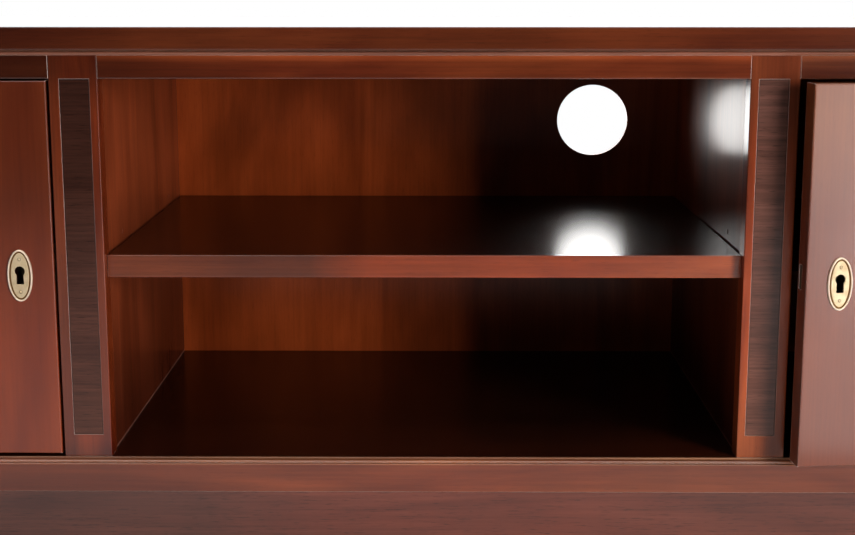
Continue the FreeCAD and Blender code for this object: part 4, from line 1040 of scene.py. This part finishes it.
class CABINET_OT_studio(bpy.types.Operator):
    """Pale floor, soft boxes, white surround and the camera"""

    bl_idname = "cabinet.studio"
    bl_label = "Studio"

    def execute(self, context):
        setup = settings("cabinet_stage")
        self.lay_floor(setup)
        self.hang_lamps(setup)
        self.colour_world(setup)
        self.place_camera(setup)
        bpy.context.scene.view_settings.view_transform = "Standard"
        return {"FINISHED"}

    def lay_floor(self, setup):
        """Large pale floor, white towards its far edge as the background is."""
        reach, drop = setup.floor_reach, -0.2 * MM
        mesh = bpy.data.meshes.new("studio_floor")
        mesh.from_pydata([(x * reach, y * reach, drop)
                          for x, y in ((-1, -1), (1, -1), (1, 1), (-1, 1))], [], [(0, 1, 2, 3)])
        made, tree, shader = blank_material("studio_floor")
        place = place_on(tree)
        pale = tuple(setup.floor_colour)
        tone = blend(tree, speckle(tree, place, 3.0, 2.0), toned(pale, 0.985), pale)
        away = node(tree, "ShaderNodeVectorMath", {0: place}, operation="LENGTH").outputs["Value"]
        path = node(tree, "ShaderNodeLightPath").outputs
        sheen = scaled(tree, remap(tree, away, *FLOOR_GLOW, setup.floor_sheen, 0.0),
                       path["Is Glossy Ray"])
        plug(tree, shader, {"Base Color": tone, "Roughness": 0.75, "Emission Color": (*WHITE, 1),
                            "Emission Strength": sheen})
        white = node(tree, "ShaderNodeEmission", {"Color": (*WHITE, 1), "Strength": 1.0})
        far_off = scaled(tree, remap(tree, away, *FLOOR_WHITE), path["Is Camera Ray"])
        mixed = node(tree, "ShaderNodeMixShader",
                     {0: far_off, 1: shader.outputs["BSDF"], 2: white.outputs[0]})
        end = next(part for part in tree.nodes if part.type == "OUTPUT_MATERIAL")
        plug(tree, end, {"Surface": mixed.outputs[0]})
        mesh_object("studio_floor", mesh, made)

    def hang_lamps(self, setup):
        """Lamps that light the cabinet, and white cards that only show in its lacquer and brass.

        A row has a name, a power or a glow, a width, a height, a place and what it is aimed at.
        """
        lamps = (("key_light", setup.key_power, 0.62, 1.05, (1.52, -1.84, 0.56), (0.0, 0.0, 0.4)),
                 ("fill_light", setup.fill_power, 1.4, 1.4, (-1.9, -2.2, 1.0), (0.2, 0.0, 0.2)),
                 ("top_light", setup.top_power, 2.4, 1.2, (0.0, 0.45, 2.2), (0.0, 0.45, 0.0)))
        cards = (("tall_card", 5.0, 0.62, 0.44, (1.37, -1.94, 0.24), (0.3, -0.2, 0.3)),
                 ("low_card", 2.2, 0.40, 1.7, (1.0, -1.24, 0.01), (1.0, -1.24, 1.0)),
                 ("top_card", 4.0, 3.0, 1.5, (0.0, -1.2, 1.9), (0.0, -0.2, 0.2)),
                 ("hole_card", 6.2, 0.36, 0.255, (0.17, 0.5, 0.3475), (0.17, 0.0, 0.3475)),
                 ("far_card", 0.8, 3.0, 0.12, (0.0, 1.2, 0.55), (0.0, 0.0, 0.55)))
        for name, watts, wide, tall, place, aim in lamps:
            self.hang(name, watts, wide, tall, place, aim)
        for name, glow, wide, tall, place, aim in cards:
            card = self.hang(name, glow * math.pi * wide * tall, wide, tall, place, aim)
            card.visible_diffuse = False
            card.data.color = setup.card_colour
        bpy.data.objects["low_card"].rotation_euler = (math.pi, 0, LOW_CARD_TURN)
        for name in ("key_light", "top_light"):
            bpy.data.objects[name].visible_glossy = False

    def hang(self, name, watts, wide, tall, place, aim):
        """Rectangular lamp at a place, aimed at another, that the camera doesn't see."""
        lamp = bpy.data.lights.new(name, "AREA")
        lamp.shape = "RECTANGLE"
        lamp.size, lamp.size_y = wide, tall
        lamp.energy = watts
        holder = bpy.data.objects.new(name, lamp)
        holder.location = place
        holder.rotation_euler = (Vector(aim) - Vector(place)).to_track_quat("-Z", "Y").to_euler()
        holder.visible_camera = False
        bpy.context.collection.objects.link(holder)
        return holder

    def colour_world(self, setup):
        """White where the camera or the back of the room shows, dim before the cabinet."""
        world = bpy.data.worlds.new("studio")
        bpy.context.scene.world = world
        world.use_nodes = True
        tree = world.node_tree
        tree.nodes.clear()
        way = node(tree, "ShaderNodeTexCoord").outputs["Generated"]
        forward = node(tree, "ShaderNodeSeparateXYZ", {"Vector": way}).outputs["Y"]
        seen = blend(tree, remap(tree, forward, -0.15, 0.25), tuple(setup.room_colour), WHITE)
        path = node(tree, "ShaderNodeLightPath").outputs
        mirrored = node(tree, "ShaderNodeMath",
                        {0: path["Is Glossy Ray"], 1: path["Is Transmission Ray"]},
                        operation="MAXIMUM").outputs[0]
        shade = blend(tree, mirrored, (setup.room_light,) * 3, seen)
        shade = blend(tree, path["Is Camera Ray"], shade, WHITE)
        sky = node(tree, "ShaderNodeBackground", {"Color": shade, "Strength": 1.0})
        node(tree, "ShaderNodeOutputWorld", {"Surface": sky.outputs[0]})

    def place_camera(self, setup):
        """Camera at the photograph's viewing place."""
        camera = bpy.data.cameras.new("camera")
        camera.sensor_width = 36.0
        camera.sensor_fit = "HORIZONTAL"
        camera.lens = setup.camera_lens
        camera.clip_start = 0.05
        holder = bpy.data.objects.new("camera", camera)
        holder.location = setup.camera_place
        holder.rotation_euler = (math.pi / 2 - setup.camera_pitch, 0, setup.camera_turn)
        bpy.context.collection.objects.link(holder)
        bpy.context.scene.camera = holder


# Add-on

OPERATORS = (CABINET_OT_case_finish, CABINET_OT_inlay_finish, CABINET_OT_door_finish,
             CABINET_OT_metal_finish, CABINET_OT_key_plates, CABINET_OT_plate_pins,
             CABINET_OT_hinge_screws, CABINET_OT_lock_screws, CABINET_OT_back_screws,
             CABINET_OT_studio)
GROUPS = {"cabinet_wood": CabinetWood, "cabinet_brass": CabinetBrass,
          "cabinet_fixings": CabinetFixings, "cabinet_stage": CabinetStage}


class CABINET_PT_panel(bpy.types.Panel):
    """Lists the cabinet's steps and settings in the sidebar"""

    bl_idname = "CABINET_PT_panel"
    bl_label = "Television cabinet"
    bl_space_type = "VIEW_3D"
    bl_region_type = "UI"
    bl_category = "Cabinet"

    def draw(self, context):
        steps = self.layout.column(align=True)
        for operator in OPERATORS:
            steps.operator(operator.bl_idname)
        for name, group in GROUPS.items():
            box = self.layout.box()
            box.label(text=group.__doc__.rstrip("."))
            for setting in group.__annotations__:
                box.prop(getattr(context.scene, name), setting)


def register():
    """Register the settings, the steps and the panel."""
    for name, group in GROUPS.items():
        bpy.utils.register_class(group)
        setattr(bpy.types.Scene, name, bpy.props.PointerProperty(type=group))
    for operator in OPERATORS:
        bpy.utils.register_class(operator)
    bpy.utils.register_class(CABINET_PT_panel)


def unregister():
    """Remove the panel, the steps and the settings."""
    bpy.utils.unregister_class(CABINET_PT_panel)
    for operator in reversed(OPERATORS):
        bpy.utils.unregister_class(operator)
    for name, group in GROUPS.items():
        delattr(bpy.types.Scene, name)
        bpy.utils.unregister_class(group)


def main():
    """Register the add-on and run its steps in order."""
    register()
    for operator in OPERATORS:
        family, step = operator.bl_idname.split(".")
        getattr(getattr(bpy.ops, family), step)()


if __name__ == "__main__":
    main()
